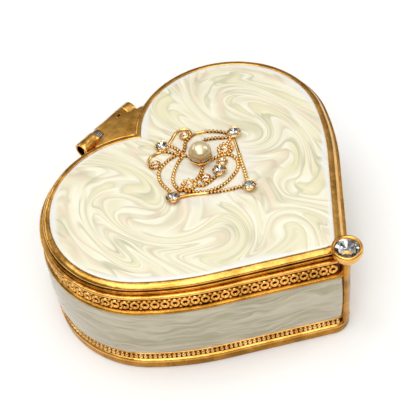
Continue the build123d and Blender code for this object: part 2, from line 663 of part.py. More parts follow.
with BuildPart() as lid_shell:
    with BuildSketch(Plane.XY.offset(LID_Z0)):
        add(h_rim_lo)
    extrude(amount=LID_STEP - LID_Z0)
    with BuildSketch(Plane.XY.offset(LID_STEP)):
        add(h_rim_hi)
    extrude(amount=LID_TOP - LID_STEP)
    with BuildSketch(Plane.XY.offset(ENAMEL_Z)):
        add(h_field)
    extrude(amount=1, mode=Mode.SUBTRACT)
    # locating lip that drops inside the case, and the hollow underside
    with BuildSketch(Plane.XY.offset(28.9)):
        add(h_lip_out)
        add(h_lip_in, mode=Mode.SUBTRACT)
        with Locations((0, FRONT_CUT + 1.0 - 30)):
            Rectangle(120, 60, mode=Mode.SUBTRACT)
    extrude(amount=LID_Z0 - 28.9)
    with BuildSketch(Plane.XY.offset(LID_Z0)):
        add(h_under)
        with Locations((0, FRONT_CUT + 1.6 - 30)):
            Rectangle(120, 60, mode=Mode.SUBTRACT)
    extrude(amount=0.7, mode=Mode.SUBTRACT)
    with Locations((0, MAG_Y, LID_Z0)):
        Cylinder(2.05, 2.6, mode=Mode.SUBTRACT)
lid_shell.part.label = "lid_shell"
export_step(lid_shell.part, "parts/lid_shell.step")

with BuildPart() as lid_magnet:
    with Locations((0, MAG_Y, LID_Z0 + 0.15)):
        Cylinder(2.0, 1.1, align=(Align.CENTER, Align.CENTER, Align.MIN))
lid_magnet.part.label = "lid_magnet"
export_step(lid_magnet.part, "parts/lid_magnet.step")

# --- hinge: leaf on the lid, leaf on the case, pin ---
AX_PL = Plane(origin=(0, HINGE_Y, HINGE_Z), x_dir=(0, 1, 0), z_dir=(1, 0, 0))
with BuildPart() as hinge_lid_leaf:
    with BuildSketch(Plane.XY.offset(LID_Z0)):
        with BuildLine():
            Polyline((-9.8, 20 + YS), (-9.8, 27.4 + YS), (-9.0, 28.2 + YS), (CASE_K0[1] - 0.1, 28.9 + YS), (LID_K0, 29.4 + YS),
                     (LID_K0, HINGE_Y), (LID_K1, HINGE_Y), (LID_K1, 28.95 + YS),
                     (9.0, 28.2 + YS), (9.8, 27.4 + YS), (9.8, 20 + YS), close=True)
        make_face()
    extrude(amount=32.1 - LID_Z0)
    for z0, z1, face in ((LID_Z0, LID_STEP, h_rim_lo), (LID_STEP, LID_TOP, h_rim_hi)):
        with BuildSketch(Plane.XY.offset(z0)):
            add(face)
        extrude(amount=z1 - z0, mode=Mode.SUBTRACT)
    with BuildSketch(AX_PL.offset(LID_K0)):
        Circle(KNUCKLE_R)
        with Locations((-1.1, 1.5)):
            Rectangle(2.2, 2.0)
    extrude(amount=LID_K1 - LID_K0)
    with BuildSketch(AX_PL.offset(-6)):
        Circle(PIN_R + 0.05)
    extrude(amount=12, mode=Mode.SUBTRACT)
hinge_lid_leaf.part.label = "hinge_lid_leaf"
export_step(hinge_lid_leaf.part, "parts/hinge_lid_leaf.step")

LEAF_W = CASE_K1[1] - CASE_K0[0]
LEAF_C = (CASE_K1[1] + CASE_K0[0]) / 2
with BuildPart() as hinge_body_leaf:
    for z0, h in ((24.5, 4.7), (29.2, 0.6)):
        with BuildSketch(Plane.XY.offset(z0)):
            with Locations((LEAF_C, 24.15 + YS)):
                Rectangle(LEAF_W, 12.3)
        extrude(amount=h)
    for x0, x1 in (CASE_K0, CASE_K1):
        with BuildSketch(AX_PL.offset(x0)):
            Circle(KNUCKLE_R)
            with Locations((-1.35, -1.1)):
                Rectangle(2.7, 2.2)
        extrude(amount=x1 - x0)
    with BuildSketch(Plane.XY.offset(24.5)):
        add(h_shell[2.8])
    extrude(amount=29.2 - 24.5, mode=Mode.SUBTRACT)
    with BuildSketch(Plane.XY.offset(29.2)):
        add(h_shell[3.1])
    extrude(amount=0.8, mode=Mode.SUBTRACT)
    with BuildSketch(AX_PL.offset(-13)):
        Circle(PIN_R + 0.02)
    extrude(amount=26, mode=Mode.SUBTRACT)
    with BuildSketch(AX_PL.offset(CASE_K0[1])):
        Circle(KNUCKLE_R + 0.3)
    extrude(amount=CASE_K1[0] - CASE_K0[1], mode=Mode.SUBTRACT)
hinge_body_leaf.part.label = "hinge_body_leaf"
export_step(hinge_body_leaf.part, "parts/hinge_body_leaf.step")

with BuildPart() as hinge_pin:
    with BuildSketch(AX_PL.offset(CASE_K0[0] + 0.1)):
        Circle(PIN_R)
    extrude(amount=LEAF_W - 0.2)
hinge_pin.part.label = "hinge_pin"
export_step(hinge_pin.part, "parts/hinge_pin.step")

# steel spring washer stack in the gap beside the lid's knuckle
with BuildPart() as hinge_spring_washer:
    with BuildSketch(AX_PL.offset(CASE_K0[1])):
        Circle(2.3)
        Circle(PIN_R + 0.01, mode=Mode.SUBTRACT)
    extrude(amount=LID_K0 - 0.06 - CASE_K0[1])
hinge_spring_washer.part.label = "hinge_spring_washer"
export_step(hinge_spring_washer.part, "parts/hinge_spring_washer.step")

# --- jewelled thumb tab at the tip ---
with BuildPart() as clasp_bezel:
    with BuildSketch(Plane.XY.offset(31.0)):
        with Locations((0, CLASP_Y)):
            Circle(CLASP_R)
    extrude(amount=3.1)
    with BuildSketch(Plane.XY.offset(32.5)):
        with Locations((0, CLASP_Y)):
            Circle(2.95)
    extrude(amount=3, mode=Mode.SUBTRACT)
    with BuildSketch(Plane.XY.offset(30.0)):
        add(h_rim_lo)
    extrude(amount=LID_STEP - 30.0, mode=Mode.SUBTRACT)
    with BuildSketch(Plane.XY.offset(LID_STEP)):
        add(h_rim_hi)
    extrude(amount=LID_TOP - LID_STEP, mode=Mode.SUBTRACT)
clasp_bezel.part.label = "clasp_bezel"
export_step(clasp_bezel.part, "parts/clasp_bezel.step")

with BuildPart() as clasp_crystal:
    with BuildSketch(Plane(origin=(0, CLASP_Y, 0), x_dir=(1, 0, 0), z_dir=(0, -1, 0))):
        with BuildLine():
            Polyline((0, 32.5), (0.6, 32.5), (2.93, 33.7), (2.93, 33.95), (1.75, 34.7), (0, 34.7), close=True)
        make_face()
    revolve(axis=Axis((0, CLASP_Y, 0), (0, 0, 1)))
clasp_crystal.part.label = "clasp_crystal"
export_step(clasp_crystal.part, "parts/clasp_crystal.step")

# --- openwork crown with a pearl and stones ---
with BuildPart() as pearl:
    with Locations((PEARL_X, PEARL_Y, PEARL_Z)):
        Sphere(PEARL_R)
pearl.part.label = "pearl"
export_step(pearl.part, "parts/pearl.step")

with BuildPart() as pearl_cup:
    with Locations((PEARL_X, PEARL_Y, LID_TOP)):
        Cylinder(2.6, 1.9, align=(Align.CENTER, Align.CENTER, Align.MIN))
    with Locations((PEARL_X, PEARL_Y, PEARL_Z)):
        Sphere(PEARL_R, mode=Mode.SUBTRACT)
pearl_cup.part.label = "pearl_cup"
export_step(pearl_cup.part, "parts/pearl_cup.step")

STONES = [(-0.1, 19.5), (14.7, 7.0), (2.4, -7.8), (-11.8, 5.5), (2.1, 1.7)]
ACCENTS = [(6.7, 17.4), (-5.6, 16.9), (8.9, 5.6), (-1.7, 3.2), (-5.9, 5.2), (5.2, 3.4)]
with BuildPart() as stone_bezels:
    for x, y in STONES:
        with Locations((x, y, LID_TOP)):
            Cylinder(1.95, 1.6, align=(Align.CENTER, Align.CENTER, Align.MIN))
        with Locations((x, y, LID_TOP + 0.7)):
            Cylinder(1.5, 2, align=(Align.CENTER, Align.CENTER, Align.MIN), mode=Mode.SUBTRACT)
    for x, y in ACCENTS:
        with Locations((x, y, LID_TOP)):
            Cylinder(1.3, 1.2, align=(Align.CENTER, Align.CENTER, Align.MIN))
        with Locations((x, y, LID_TOP + 0.5)):
            Cylinder(0.95, 2, align=(Align.CENTER, Align.CENTER, Align.MIN), mode=Mode.SUBTRACT)
stone_bezels.part.label = "stone_bezels"
export_step(stone_bezels.part, "parts/stone_bezels.step")

with BuildPart() as corner_stones:
    for x, y in STONES:
        with BuildSketch(Plane(origin=(x, y, LID_TOP + 0.7), x_dir=(1, 0, 0), z_dir=(0, -1, 0))):
            with BuildLine():
                Polyline((0, 0), (0.5, 0), (1.48, 0.8), (1.48, 1.0), (0.85, 1.5), (0, 1.5), close=True)
            make_face()
        revolve(axis=Axis((x, y, 0), (0, 0, 1)))
corner_stones.part.label = "corner_stones"
export_step(corner_stones.part, "parts/corner_stones.step")

with BuildPart() as accent_stones:
    for x, y in ACCENTS:
        with BuildSketch(Plane(origin=(x, y, LID_TOP + 0.5), x_dir=(1, 0, 0), z_dir=(0, -1, 0))):
            with BuildLine():
                Polyline((0, 0), (0.3, 0), (0.93, 0.5), (0.93, 0.65), (0.55, 1.0), (0, 1.0), close=True)
            make_face()
        revolve(axis=Axis((x, y, 0), (0, 0, 1)))
accent_stones.part.label = "accent_stones"
export_step(accent_stones.part, "parts/accent_stones.step")

# openwork: flat wires between the settings, like a small tiara with two ears
WIRES = [
    [(0.3, 14.6), (-2.0, 15.2), (-4.2, 15.2), (-6.6, 14.7), (-8.6, 13.0), (-9.7, 10.9), (-10.1, 8.9), (-10.7, 7.0)],
    [(1.0, 13.1), (-1.5, 12.6), (-4.0, 11.6), (-6.4, 10.2), (-7.8, 8.6), (-8.6, 6.4)],
    [(1.6, 13.8), (3.2, 14.4), (5.0, 15.7), (7.0, 16.0), (9.5, 15.4), (11.4, 13.7), (12.9, 11.4), (14.0, 8.6)],
    [(5.4, 11.0), (8.0, 12.2), (9.5, 11.4), (11.0, 9.9), (12.1, 8.4), (13.2, 7.4)],
    [(-1.4, 18.8), (-2.6, 19.5), (-4.3, 19.8), (-6.0, 19.1), (-6.8, 17.4)],
    [(1.2, 18.8), (3.8, 19.5), (6.2, 20.1), (8.3, 19.4), (8.9, 17.8), (8.0, 16.0)],
    [(-0.5, 18.0), (0.2, 16.0), (0.9, 13.2)],
    [(1.5, 18.4), (1.6, 16.0), (1.3, 13.2), (1.9, 10.4)],
    [(-10.4, 4.6), (-8.3, 2.9), (-5.2, -0.4), (-2.0, -3.4), (0.9, -5.6), (1.4, -6.4)],
    [(13.3, 5.8), (11.6, 3.6), (8.8, 0.2), (6.4, -2.8), (4.3, -5.3), (3.6, -6.4)],
    [(-8.0, 4.4), (-5.6, 0.9), (-3.2, -1.0), (-0.5, -1.9), (2.6, -2.0), (5.6, -1.4), (7.7, 0.3), (8.3, 2.2),
     (7.9, 3.9), (6.4, 5.2), (4.4, 5.9)],
    [(-4.8, 3.9), (-4.1, 2.3), (-2.9, 1.8), (-1.4, 1.6), (0.6, 1.4)],
    [(-4.8, 4.4), (-3.0, 4.9), (-1.5, 5.1), (0.4, 6.0)],
    [(-10.4, 5.8), (-8.6, 6.0), (-7.0, 5.6)],
    [(-8.4, 5.6), (-7.2, 3.9), (-5.9, 3.7), (-4.6, 4.0)],
    [(13.2, 6.8), (11.6, 6.4), (10.0, 5.9)],
]
with BuildPart() as filigree_crown:
    for pts in WIRES:
        with BuildSketch(Plane.XY.offset(LID_TOP)):
            with BuildLine(mode=Mode.PRIVATE) as wire_line:
                Polyline(*pts)
            trace(wire_line.line, line_width=0.8)
        extrude(amount=0.9)
    for x, y, r in [(PEARL_X, PEARL_Y, 2.6)] + [(x, y, 1.95) for x, y in STONES] + [(x, y, 1.3) for x, y in ACCENTS]:
        with BuildSketch(Plane.XY.offset(LID_TOP)):
            with Locations((x, y)):
                Circle(r)
        extrude(amount=2, mode=Mode.SUBTRACT)
filigree_crown.part.label = "filigree_crown"
export_step(filigree_crown.part, "parts/filigree_crown.step")
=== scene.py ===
import bpy, bmesh, random
import numpy as np
from math import sin, cos, tan, pi, radians, sqrt, atan2
from mathutils import Vector, Matrix, geometry


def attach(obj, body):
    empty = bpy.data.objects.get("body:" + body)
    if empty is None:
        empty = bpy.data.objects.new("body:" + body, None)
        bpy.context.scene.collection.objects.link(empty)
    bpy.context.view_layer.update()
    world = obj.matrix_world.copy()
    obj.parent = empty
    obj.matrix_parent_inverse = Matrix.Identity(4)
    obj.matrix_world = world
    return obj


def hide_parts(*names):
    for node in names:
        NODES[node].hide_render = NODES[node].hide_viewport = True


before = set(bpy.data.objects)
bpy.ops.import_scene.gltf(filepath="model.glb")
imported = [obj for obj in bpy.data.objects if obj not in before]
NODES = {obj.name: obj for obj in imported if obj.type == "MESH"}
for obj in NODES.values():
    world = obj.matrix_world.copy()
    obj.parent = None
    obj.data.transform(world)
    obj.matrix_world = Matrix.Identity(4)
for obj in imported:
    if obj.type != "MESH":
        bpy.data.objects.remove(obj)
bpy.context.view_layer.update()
MM = 0.001
rng = random.Random(11)


# ---------------------------------------------------------------------------
# Materials
# ---------------------------------------------------------------------------
def lin(h):
    v = [int(h[i:i + 2], 16) / 255.0 for i in (0, 2, 4)]
    return tuple(c / 12.92 if c <= 0.04045 else ((c + 0.055) / 1.055) ** 2.4 for c in v) + (1.0,)


class Mat:
    """Small helper round a node tree."""
    def __init__(self, name):
        self.m = bpy.data.materials.new(name)
        self.m.use_nodes = True
        self.t = self.m.node_tree
        self.b = self.t.nodes["Principled BSDF"]
        self.out = self.t.nodes["Material Output"]

    def n(self, kind, **kw):
        nd = self.t.nodes.new("ShaderNode" + kind)
        for k, v in kw.items():
            setattr(nd, k, v)
        return nd

    def l(self, a, b):
        self.t.links.new(a, b)

    def set(self, **kw):
        for k, v in kw.items():
            self.b.inputs[k.replace("_", " ")].default_value = v

    def coord(self, scale=(1, 1, 1), rot=(0, 0, 0)):
        """Object coordinates in millimetres, then scaled."""
        tc = self.n("TexCoord")
        mp = self.n("Mapping")
        mp.inputs["Scale"].default_value = [1000.0 * s for s in scale]
        mp.inputs["Rotation"].default_value = rot
        self.l(tc.outputs["Object"], mp.inputs["Vector"])
        return mp.outputs["Vector"]

    def noise(self, vec, scale, detail=2.0, rough=0.5, dist=0.0, out="Fac"):
        nd = self.n("TexNoise")
        nd.inputs["Scale"].default_value = scale
        nd.inputs["Detail"].default_value = detail
        nd.inputs["Roughness"].default_value = rough
        nd.inputs["Distortion"].default_value = dist
        self.l(vec, nd.inputs["Vector"])
        return nd.outputs[out]

    def math(self, op, a, b=None, c=None, clamp=False):
        nd = self.n("Math", operation=op, use_clamp=clamp)
        for i, v in enumerate((a, b, c)):
            if v is None:
                continue
            if isinstance(v, (int, float)):
                nd.inputs[i].default_value = v
            else:
                self.l(v, nd.inputs[i])
        return nd.outputs[0]

    def vmath(self, op, a, b=None, scale=None):
        nd = self.n("VectorMath", operation=op)
        for i, v in enumerate((a, b)):
            if v is None:
                continue
            if isinstance(v, (tuple, list)):
                nd.inputs[i].default_value = v
            else:
                self.l(v, nd.inputs[i])
        if scale is not None:
            if isinstance(scale, (int, float)):
                nd.inputs["Scale"].default_value = scale
            else:
                self.l(scale, nd.inputs["Scale"])
        return nd.outputs["Value"] if op in ("DISTANCE", "LENGTH", "DOT_PRODUCT") else nd.outputs["Vector"]

    def ramp(self, fac, stops, interp="LINEAR"):
        nd = self.n("ValToRGB")
        nd.color_ramp.interpolation = interp
        el = nd.color_ramp.elements
        el[0].position, el[0].color = stops[0]
        el[1].position, el[1].color = stops[-1]
        for p, c in stops[1:-1]:
            e = el.new(p)
            e.color = c
        self.l(fac, nd.inputs["Fac"])
        return nd.outputs["Color"]

    def mix(self, fac, a, b, mode="MIX"):
        nd = self.n("Mix", data_type="RGBA", blend_type=mode, clamp_result=True)
        for sock, v in ((nd.inputs[0], fac), (nd.inputs[6], a), (nd.inputs[7], b)):
            if isinstance(v, (int, float)):
                sock.default_value = v
            elif isinstance(v, tuple):
                sock.default_value = v
            else:
                self.l(v, sock)
        return nd.outputs[2]

    def range(self, v, a, b, c=0.0, d=1.0, smooth=False):
        nd = self.n("MapRange", interpolation_type="SMOOTHSTEP" if smooth else "LINEAR")
        for i, x in enumerate((a, b, c, d)):
            nd.inputs[i + 1].default_value = x
        self.l(v, nd.inputs[0])
        return nd.outputs[0]

    def bump(self, height, strength, dist=0.0001, normal=None):
        nd = self.n("Bump")
        nd.inputs["Strength"].default_value = strength
        nd.inputs["Distance"].default_value = dist
        self.l(height, nd.inputs["Height"])
        if normal is not None:
            self.l(normal, nd.inputs["Normal"])
        self.l(nd.outputs["Normal"], self.b.inputs["Normal"])
        return nd.outputs["Normal"]


def gold(name, light, dark, r0, r1, grain=1.0):
    m = Mat(name)
    v = m.coord()
    blotch = m.noise(v, 0.16, 4, 0.6)
    fine = m.noise(v, 2.2, 3, 0.6)
    fac = m.range(m.math("ADD", m.math("MULTIPLY", blotch, 0.75), m.math("MULTIPLY", fine, 0.25)), 0.36, 0.62, smooth=True)
    m.l(m.mix(fac, lin(dark), lin(light)), m.b.inputs["Base Color"])
    m.set(Metallic=1.0)
    scr = m.noise(m.coord((0.5, 0.5, 7.0), (0.1, 0.05, 0)), 1.3, 3, 0.65)
    m.l(m.range(m.math("ADD", m.math("MULTIPLY", scr, 0.5), m.math("MULTIPLY", blotch, 0.5)), 0.35, 0.66, r0, r1),
        m.b.inputs["Roughness"])
    # cast and plated surface: slow waves, small pits, fine scratches
    wave = m.noise(v, 0.32, 2, 0.5)
    pit = m.range(m.noise(v, 1.5, 2, 0.5), 0.22, 0.34)
    h = m.math("ADD", m.math("MULTIPLY", wave, 1.0), m.math("MULTIPLY", scr, 0.035 * grain))
    h = m.math("ADD", h, m.math("MULTIPLY", pit, 0.05 * grain))
    m.bump(h, 0.60, 0.00034 * grain)
    return m.m


def metal(name, light, dark, r0, r1, stretch=(1, 1, 6), scale=1.5, bump=0.25):
    m = Mat(name)
    v = m.coord()
    blotch = m.noise(v, 0.35, 4, 0.6)
    m.l(m.mix(m.range(blotch, 0.35, 0.65), lin(dark), lin(light)), m.b.inputs["Base Color"])
    m.set(Metallic=1.0)
    g = m.noise(m.coord(stretch), scale, 3, 0.6)
    m.l(m.range(g, 0.3, 0.7, r0, r1), m.b.inputs["Roughness"])
    m.bump(g, bump, 0.00004)
    return m.m


def plastic(name, light, dark, r0, r1, rough_scale=3.0, bump=0.3, **kw):
    m = Mat(name)
    v = m.coord()
    n1 = m.noise(v, 0.3, 3, 0.6)
    m.l(m.mix(m.range(n1, 0.35, 0.65), lin(dark), lin(light)), m.b.inputs["Base Color"])
    g = m.noise(v, rough_scale, 3, 0.6)
    m.l(m.range(g, 0.3, 0.7, r0, r1), m.b.inputs["Roughness"])
    m.bump(g, bump, 0.00004)
    m.set(**kw)
    return m.m


def whirl(m, v, cx, cy, tilt, long_, r, angle, pw):
    """Twist the plane round (cx, cy) inside an oval of half widths r and r * long_, turned by tilt degrees."""
    a = m.n("Mapping", vector_type="TEXTURE")
    a.inputs["Location"].default_value = (cx, cy, 0.0)
    a.inputs["Rotation"].default_value = (0.0, 0.0, radians(tilt))
    a.inputs["Scale"].default_value = (r, r * long_, 1.0)
    m.l(v, a.inputs["Vector"])
    d = m.math("POWER", m.vmath("LENGTH", a.outputs["Vector"]), pw)
    e = m.math("MULTIPLY", m.math("EXPONENT", m.math("MULTIPLY", d, -1.0)), angle)
    t = m.n("VectorRotate", rotation_type="Z_AXIS")
    m.l(a.outputs["Vector"], t.inputs["Vector"])
    m.l(e, t.inputs["Angle"])
    b = m.n("Mapping", vector_type="POINT")
    b.inputs["Location"].default_value = (cx, cy, 0.0)
    b.inputs["Rotation"].default_value = (0.0, 0.0, radians(tilt))
    b.inputs["Scale"].default_value = (r, r * long_, 1.0)
    m.l(t.outputs["Vector"], b.inputs["Vector"])
    return b.outputs["Vector"]


def lid_enamel_mat():
    """Marbled pearl enamel: long strokes stirred into a tall whorl in each lobe and smaller ones towards the tip."""
    m = Mat("lid_pearl_enamel_marbled")
    v = m.vmath("MULTIPLY", m.coord(), (1.0, 1.0, 0.0))
    q = v
    for w in ((-19.0, 13.0, 0, 1.6, 10.5, 2.4, 2.4), (22.0, 10.0, -4, 1.7, 10.0, -2.4, 2.4), (-16.0, -12.0, 10, 1.1, 7.5, 2.5, 2.0),
              (-4.5, -21.5, 50, 1.2, 6.0, -2.7, 2.0), (10.5, -12.0, -8, 1.8, 5.0, 2.0, 2.0), (19.0, 27.0, 30, 1.2, 7.5, 2.5, 2.0),
              (-28.0, -3.0, 20, 1.3, 5.0, -1.9, 2.0), (1.0, -32.0, 0, 1.3, 4.0, 2.0, 2.0)):
        q = whirl(m, q, *w)
    wob = m.noise(q, 0.050, 1, 0.5, out="Color")
    q = m.vmath("ADD", q, m.vmath("MULTIPLY", m.vmath("SUBTRACT", wob, (0.5, 0.5, 0.5)), (11.0, 11.0, 0.0)))
    n1 = m.noise(m.vmath("MULTIPLY", q, (0.135, 0.032, 0.0)), 1.0, 2, 0.45)
    n2 = m.noise(m.vmath("ADD", m.vmath("MULTIPLY", q, (0.34, 0.05, 0.0)), (3.0, 7.0, 2.0)), 1.0, 2, 0.5)
    n3 = m.noise(m.vmath("ADD", m.vmath("MULTIPLY", q, (0.19, 0.042, 0.0)), (5.0, 9.0, 4.0)), 1.0, 1, 0.5)
    f3 = m.noise(v, 0.07, 1.0, 0.5)
    cream, yellow, pink, white, green = (lin(h) for h in ("EEE8CA", "E8E0B8", "EAD9C0", "F5F1DC", "D9D4B4"))
    base = m.ramp(n1, [(0.0, green), (0.30, green), (0.37, cream), (0.425, yellow), (0.445, green), (0.47, white), (0.52, cream),
                       (0.555, pink), (0.58, green), (0.605, white), (0.66, cream), (0.74, yellow), (1.0, green)])
    base = m.mix(m.range(n2, 0.32, 0.62, 0.30, 0.0, True), base, lin("D5D0B4"))
    fade = m.range(f3, 0.40, 0.58, 0.0, 1.0, True)
    # sharp on one side of a stroke, soft on the other
    for c0, wd, amt, colr in ((0.47, 0.060, 0.75, "C0BC9C"), (0.61, 0.060, 0.55, "CBB8A2")):
        soft = m.range(n3, c0 - wd, c0, 0.0, 1.0, True)
        hard = m.range(n3, c0, c0 + wd * 0.22, 1.0, 0.0, True)
        e = m.math("MULTIPLY", m.math("MULTIPLY", m.math("POWER", soft, 1.4), hard), m.math("MULTIPLY", fade, amt))
        base = m.mix(e, base, lin(colr))
    f2 = n2
    # whiter and flatter beside the ornament
    near = m.range(m.vmath("DISTANCE", v, (2.0, 5.5, 0.0)), 9.0, 16.0, 0.62, 0.0, True)
    base = m.mix(near, base, lin("E9E8DF"))
    # translucent whitish edge where the enamel thins out at the rim
    at = m.n("Attribute", attribute_name="rim")
    base = m.mix(m.range(at.outputs["Fac"], 0.35, 1.0, 0.0, 0.8, True), base, lin("E9E9E4"))
    m.l(base, m.b.inputs["Base Color"])
    m.set(Coat_Weight=0.6, Coat_Roughness=0.06, IOR=1.5)
    m.l(m.range(f2, 0.3, 0.7, 0.20, 0.32), m.b.inputs["Roughness"])
    h = m.math("ADD", m.math("MULTIPLY", f2, 0.35), m.noise(v, 0.10, 2, 0.5))
    m.bump(h, 0.35, 0.0006)
    return m.m


def side_enamel_mat():
    """The same enamel on the sides, combed along the wall and greyer."""
    m = Mat("side_pearl_enamel_combed")
    v = m.coord()
    wob = m.noise(m.vmath("MULTIPLY", v, (1.0, 1.0, 1.7)), 0.060, 2, 0.5)
    wob2 = m.noise(m.vmath("MULTIPLY", v, (1.0, 1.0, 2.0)), 0.16, 2, 0.5)
    sx = m.n("SeparateXYZ")
    m.l(v, sx.inputs[0])
    ph = m.math("ADD", sx.outputs["Z"], m.math("ADD", m.math("MULTIPLY", wob, 9.0), m.math("MULTIPLY", wob2, 1.6)))

    def strokes(freq, off):
        cb = m.n("CombineXYZ")
        m.l(m.math("MULTIPLY", ph, freq), cb.inputs[2])
        w_ = m.vmath("ADD", m.vmath("ADD", cb.outputs[0], m.vmath("MULTIPLY", v, (0.040, 0.040, 0.0))), off)
        return m.noise(w_, 1.0, 2.0, 0.5)
    f1 = strokes(0.34, (0.0, 0.0, 0.0))
    f2 = strokes(0.60, (5.0, 9.0, 3.0))
    f3 = m.noise(v, 0.07, 2, 0.5)
    a, b, c, d = (lin(h) for h in ("ADA387", "A1977A", "BCB39A", "978D70"))
    base = m.ramp(f1, [(0.0, b), (0.32, b), (0.42, a), (0.50, c), (0.56, a), (0.63, b), (0.70, a), (1.0, c)], "EASE")
    edge = m.math("ABSOLUTE", m.math("SUBTRACT", f2, 0.5))
    line = m.math("MULTIPLY", m.range(edge, 0.0, 0.05, 1.0, 0.0, True), m.range(f3, 0.42, 0.6, 0.0, 0.30, True))
    base = m.mix(line, base, lin("847B60"))
    side = m.range(m.math("SUBTRACT", f2, 0.57), 0.0, 0.05, 0.0, 0.3, True)
    base = m.mix(side, base, lin("CBC4AF"))
    at = m.n("Attribute", attribute_name="rim")
    base = m.mix(m.range(at.outputs["Fac"], 0.0, 1.0, 0.0, 0.6, True), base, lin("CFCBBD"))
    m.l(base, m.b.inputs["Base Color"])
    m.set(Coat_Weight=0.5, Coat_Roughness=0.08, IOR=1.5)
    m.l(m.range(f1, 0.3, 0.7, 0.24, 0.38), m.b.inputs["Roughness"])
    m.bump(m.math("ADD", m.math("MULTIPLY", f2, 0.4), m.noise(v, 0.16, 2, 0.5)), 0.35, 0.0005)
    return m.m


def pearl_mat():
    m = Mat("pearl_nacre_shaded")
    v = m.coord()
    n1 = m.noise(v, 0.5, 3, 0.55, 0.6)
    body = m.mix(m.range(n1, 0.35, 0.65), lin("D6BC86"), lin("E6D2A6"))
    # painted shade and painted reflection of the gold cup: the pearl turns darker and browner towards the bottom
    sx = m.n("SeparateXYZ")
    m.l(v, sx.inputs[0])
    z = m.math("ADD", sx.outputs["Z"], m.math("MULTIPLY", n1, 0.8))
    body = m.mix(m.range(z, 36.6, 38.9, 1.0, 0.0, True), body, lin("B08B4E"))
    body = m.mix(m.range(z, 34.8, 37.0, 0.9, 0.0, True), body, lin("76501F"))
    m.l(body, m.b.inputs["Base Color"])
    m.set(Coat_Weight=1.0, Coat_Roughness=0.03, Coat_IOR=1.8, IOR=1.9, Metallic=0.35)
    m.l(m.range(n1, 0.3, 0.7, 0.16, 0.24), m.b.inputs["Roughness"])
    m.bump(m.noise(v, 1.6, 2, 0.5), 0.05, 0.0002)
    return m.m


def crystal_mat(name, tint):
    """Cut crystal: clear, very glossy, with a faint veil inside."""
    m = Mat(name)
    v = m.coord()
    n1 = m.noise(v, 0.8, 2, 0.5)
    m.l(m.mix(m.range(n1, 0.35, 0.65), lin(tint), lin("FFFFFF")), m.b.inputs["Base Color"])
    m.set(Transmission_Weight=1.0, IOR=1.54)
    m.l(m.range(n1, 0.3, 0.7, 0.0, 0.02), m.b.inputs["Roughness"])
    return m.m


def foil_mat(name, light, dark):
    m = Mat(name)
    v = m.coord()
    n1 = m.noise(v, 1.2, 2, 0.5)
    m.l(m.mix(m.range(n1, 0.35, 0.65), lin(dark), lin(light)), m.b.inputs["Base Color"])
    m.set(Metallic=1.0)
    m.l(m.range(n1, 0.3, 0.7, 0.04, 0.14), m.b.inputs["Roughness"])
    return m.m


def acrylic_mat():
    m = Mat("clear_acrylic_sheet")
    v = m.coord()
    n1 = m.noise(v, 0.12, 2, 0.5)
    m.l(m.mix(n1, lin("F4F8F7"), lin("FFFFFF")), m.b.inputs["Base Color"])
    m.set(Transmission_Weight=1.0, IOR=1.1)
    scr = m.noise(m.coord((1.0, 6.0, 1.0), (0, 0, 0.6)), 0.9, 3, 0.6)
    m.l(m.range(scr, 0.45, 0.75, 0.01, 0.07), m.b.inputs["Roughness"])
    return m.m


def floor_mat():
    m = Mat("studio_floor")
    v = m.coord()
    n1 = m.noise(v, 0.02, 3, 0.5)
    m.l(m.mix(n1, lin("FDFDFC"), lin("FEFEFD")), m.b.inputs["Base Color"])
    m.set(**{"Roughness": 0.85, "Specular_IOR_Level": 0.2})
    return m.m


GOLD = gold("antique_gold_cast", "F5BB62", "C48B39", 0.14, 0.28)
# Darker copy of the cast gold: painted shade for the base band, the ridge under the ring band, the post and the lid's
# lower band.
GOLD_WALL_SHADED = gold("antique_gold_wall_shaded", "C68E38", "90621E", 0.18, 0.32)
GOLD_SATIN = gold("antique_gold_satin", "E9B25A", "C08434", 0.24, 0.40)
# Near-black gold: painted shade for grooves, band floors, knuckle bores and hollow ends, the press dimple and the gaps
# between filigree beads.
GOLD_RECESS_SHADE = gold("antique_gold_recess_shade", "5A240A", "1E0A02", 0.24, 0.42)
GOLD_WIRE = gold("antique_gold_wire", "FBD692", "C78E40", 0.07, 0.18, 0.4)
LID_ENAMEL = lid_enamel_mat()
SIDE_ENAMEL = side_enamel_mat()
ZINC = metal("zinc_alloy", "C9CBCC", "A5A8AA", 0.30, 0.48)
WASHER = metal("washer_steel", "B4B6BA", "6E7176", 0.14, 0.30, (6, 1, 1))
STEEL = metal("bright_steel", "C8CACC", "8E9194", 0.16, 0.34, (8, 1, 1))
COMB_STEEL = metal("comb_steel_ground", "D6D8DA", "A9ACAF", 0.18, 0.36, (1, 9, 1), 1.2)
SPRING = metal("spring_steel_blue", "8D959F", "4E565F", 0.18, 0.34)
BRASS = metal("brass_turned", "E3BE6A", "B98F3E", 0.18, 0.36, (6, 1, 1))
BRASS_SLEEVE = metal("brass_sleeve", "E8C574", "C29A48", 0.20, 0.34, (10, 1, 1), 1.0)
NYLON = plastic("nylon_white", "F1EFE6", "DEDBCE", 0.35, 0.5)
BLACK = plastic("black_plate_paint", "26262A", "161618", 0.35, 0.55, 2.2, 0.6)
MAGNET = metal("magnet_nickel", "D3D4D6", "A3A6A9", 0.14, 0.30)
PEARL = pearl_mat()
CRYSTAL = crystal_mat("crystal_clear", "FAFAFA")
BLUSH = crystal_mat("crystal_blush", "F8ECE2")
FOIL = foil_mat("crystal_foil", "FFFFFF", "E4E6E8")
FOIL_DARK = foil_mat("crystal_foil_shaded", "2C2C2E", "0C0C0D")
ROSE_FOIL = foil_mat("crystal_foil_rose", "F7F1E6", "D8CBB8")
ACRYLIC = acrylic_mat()
FLOOR = floor_mat()


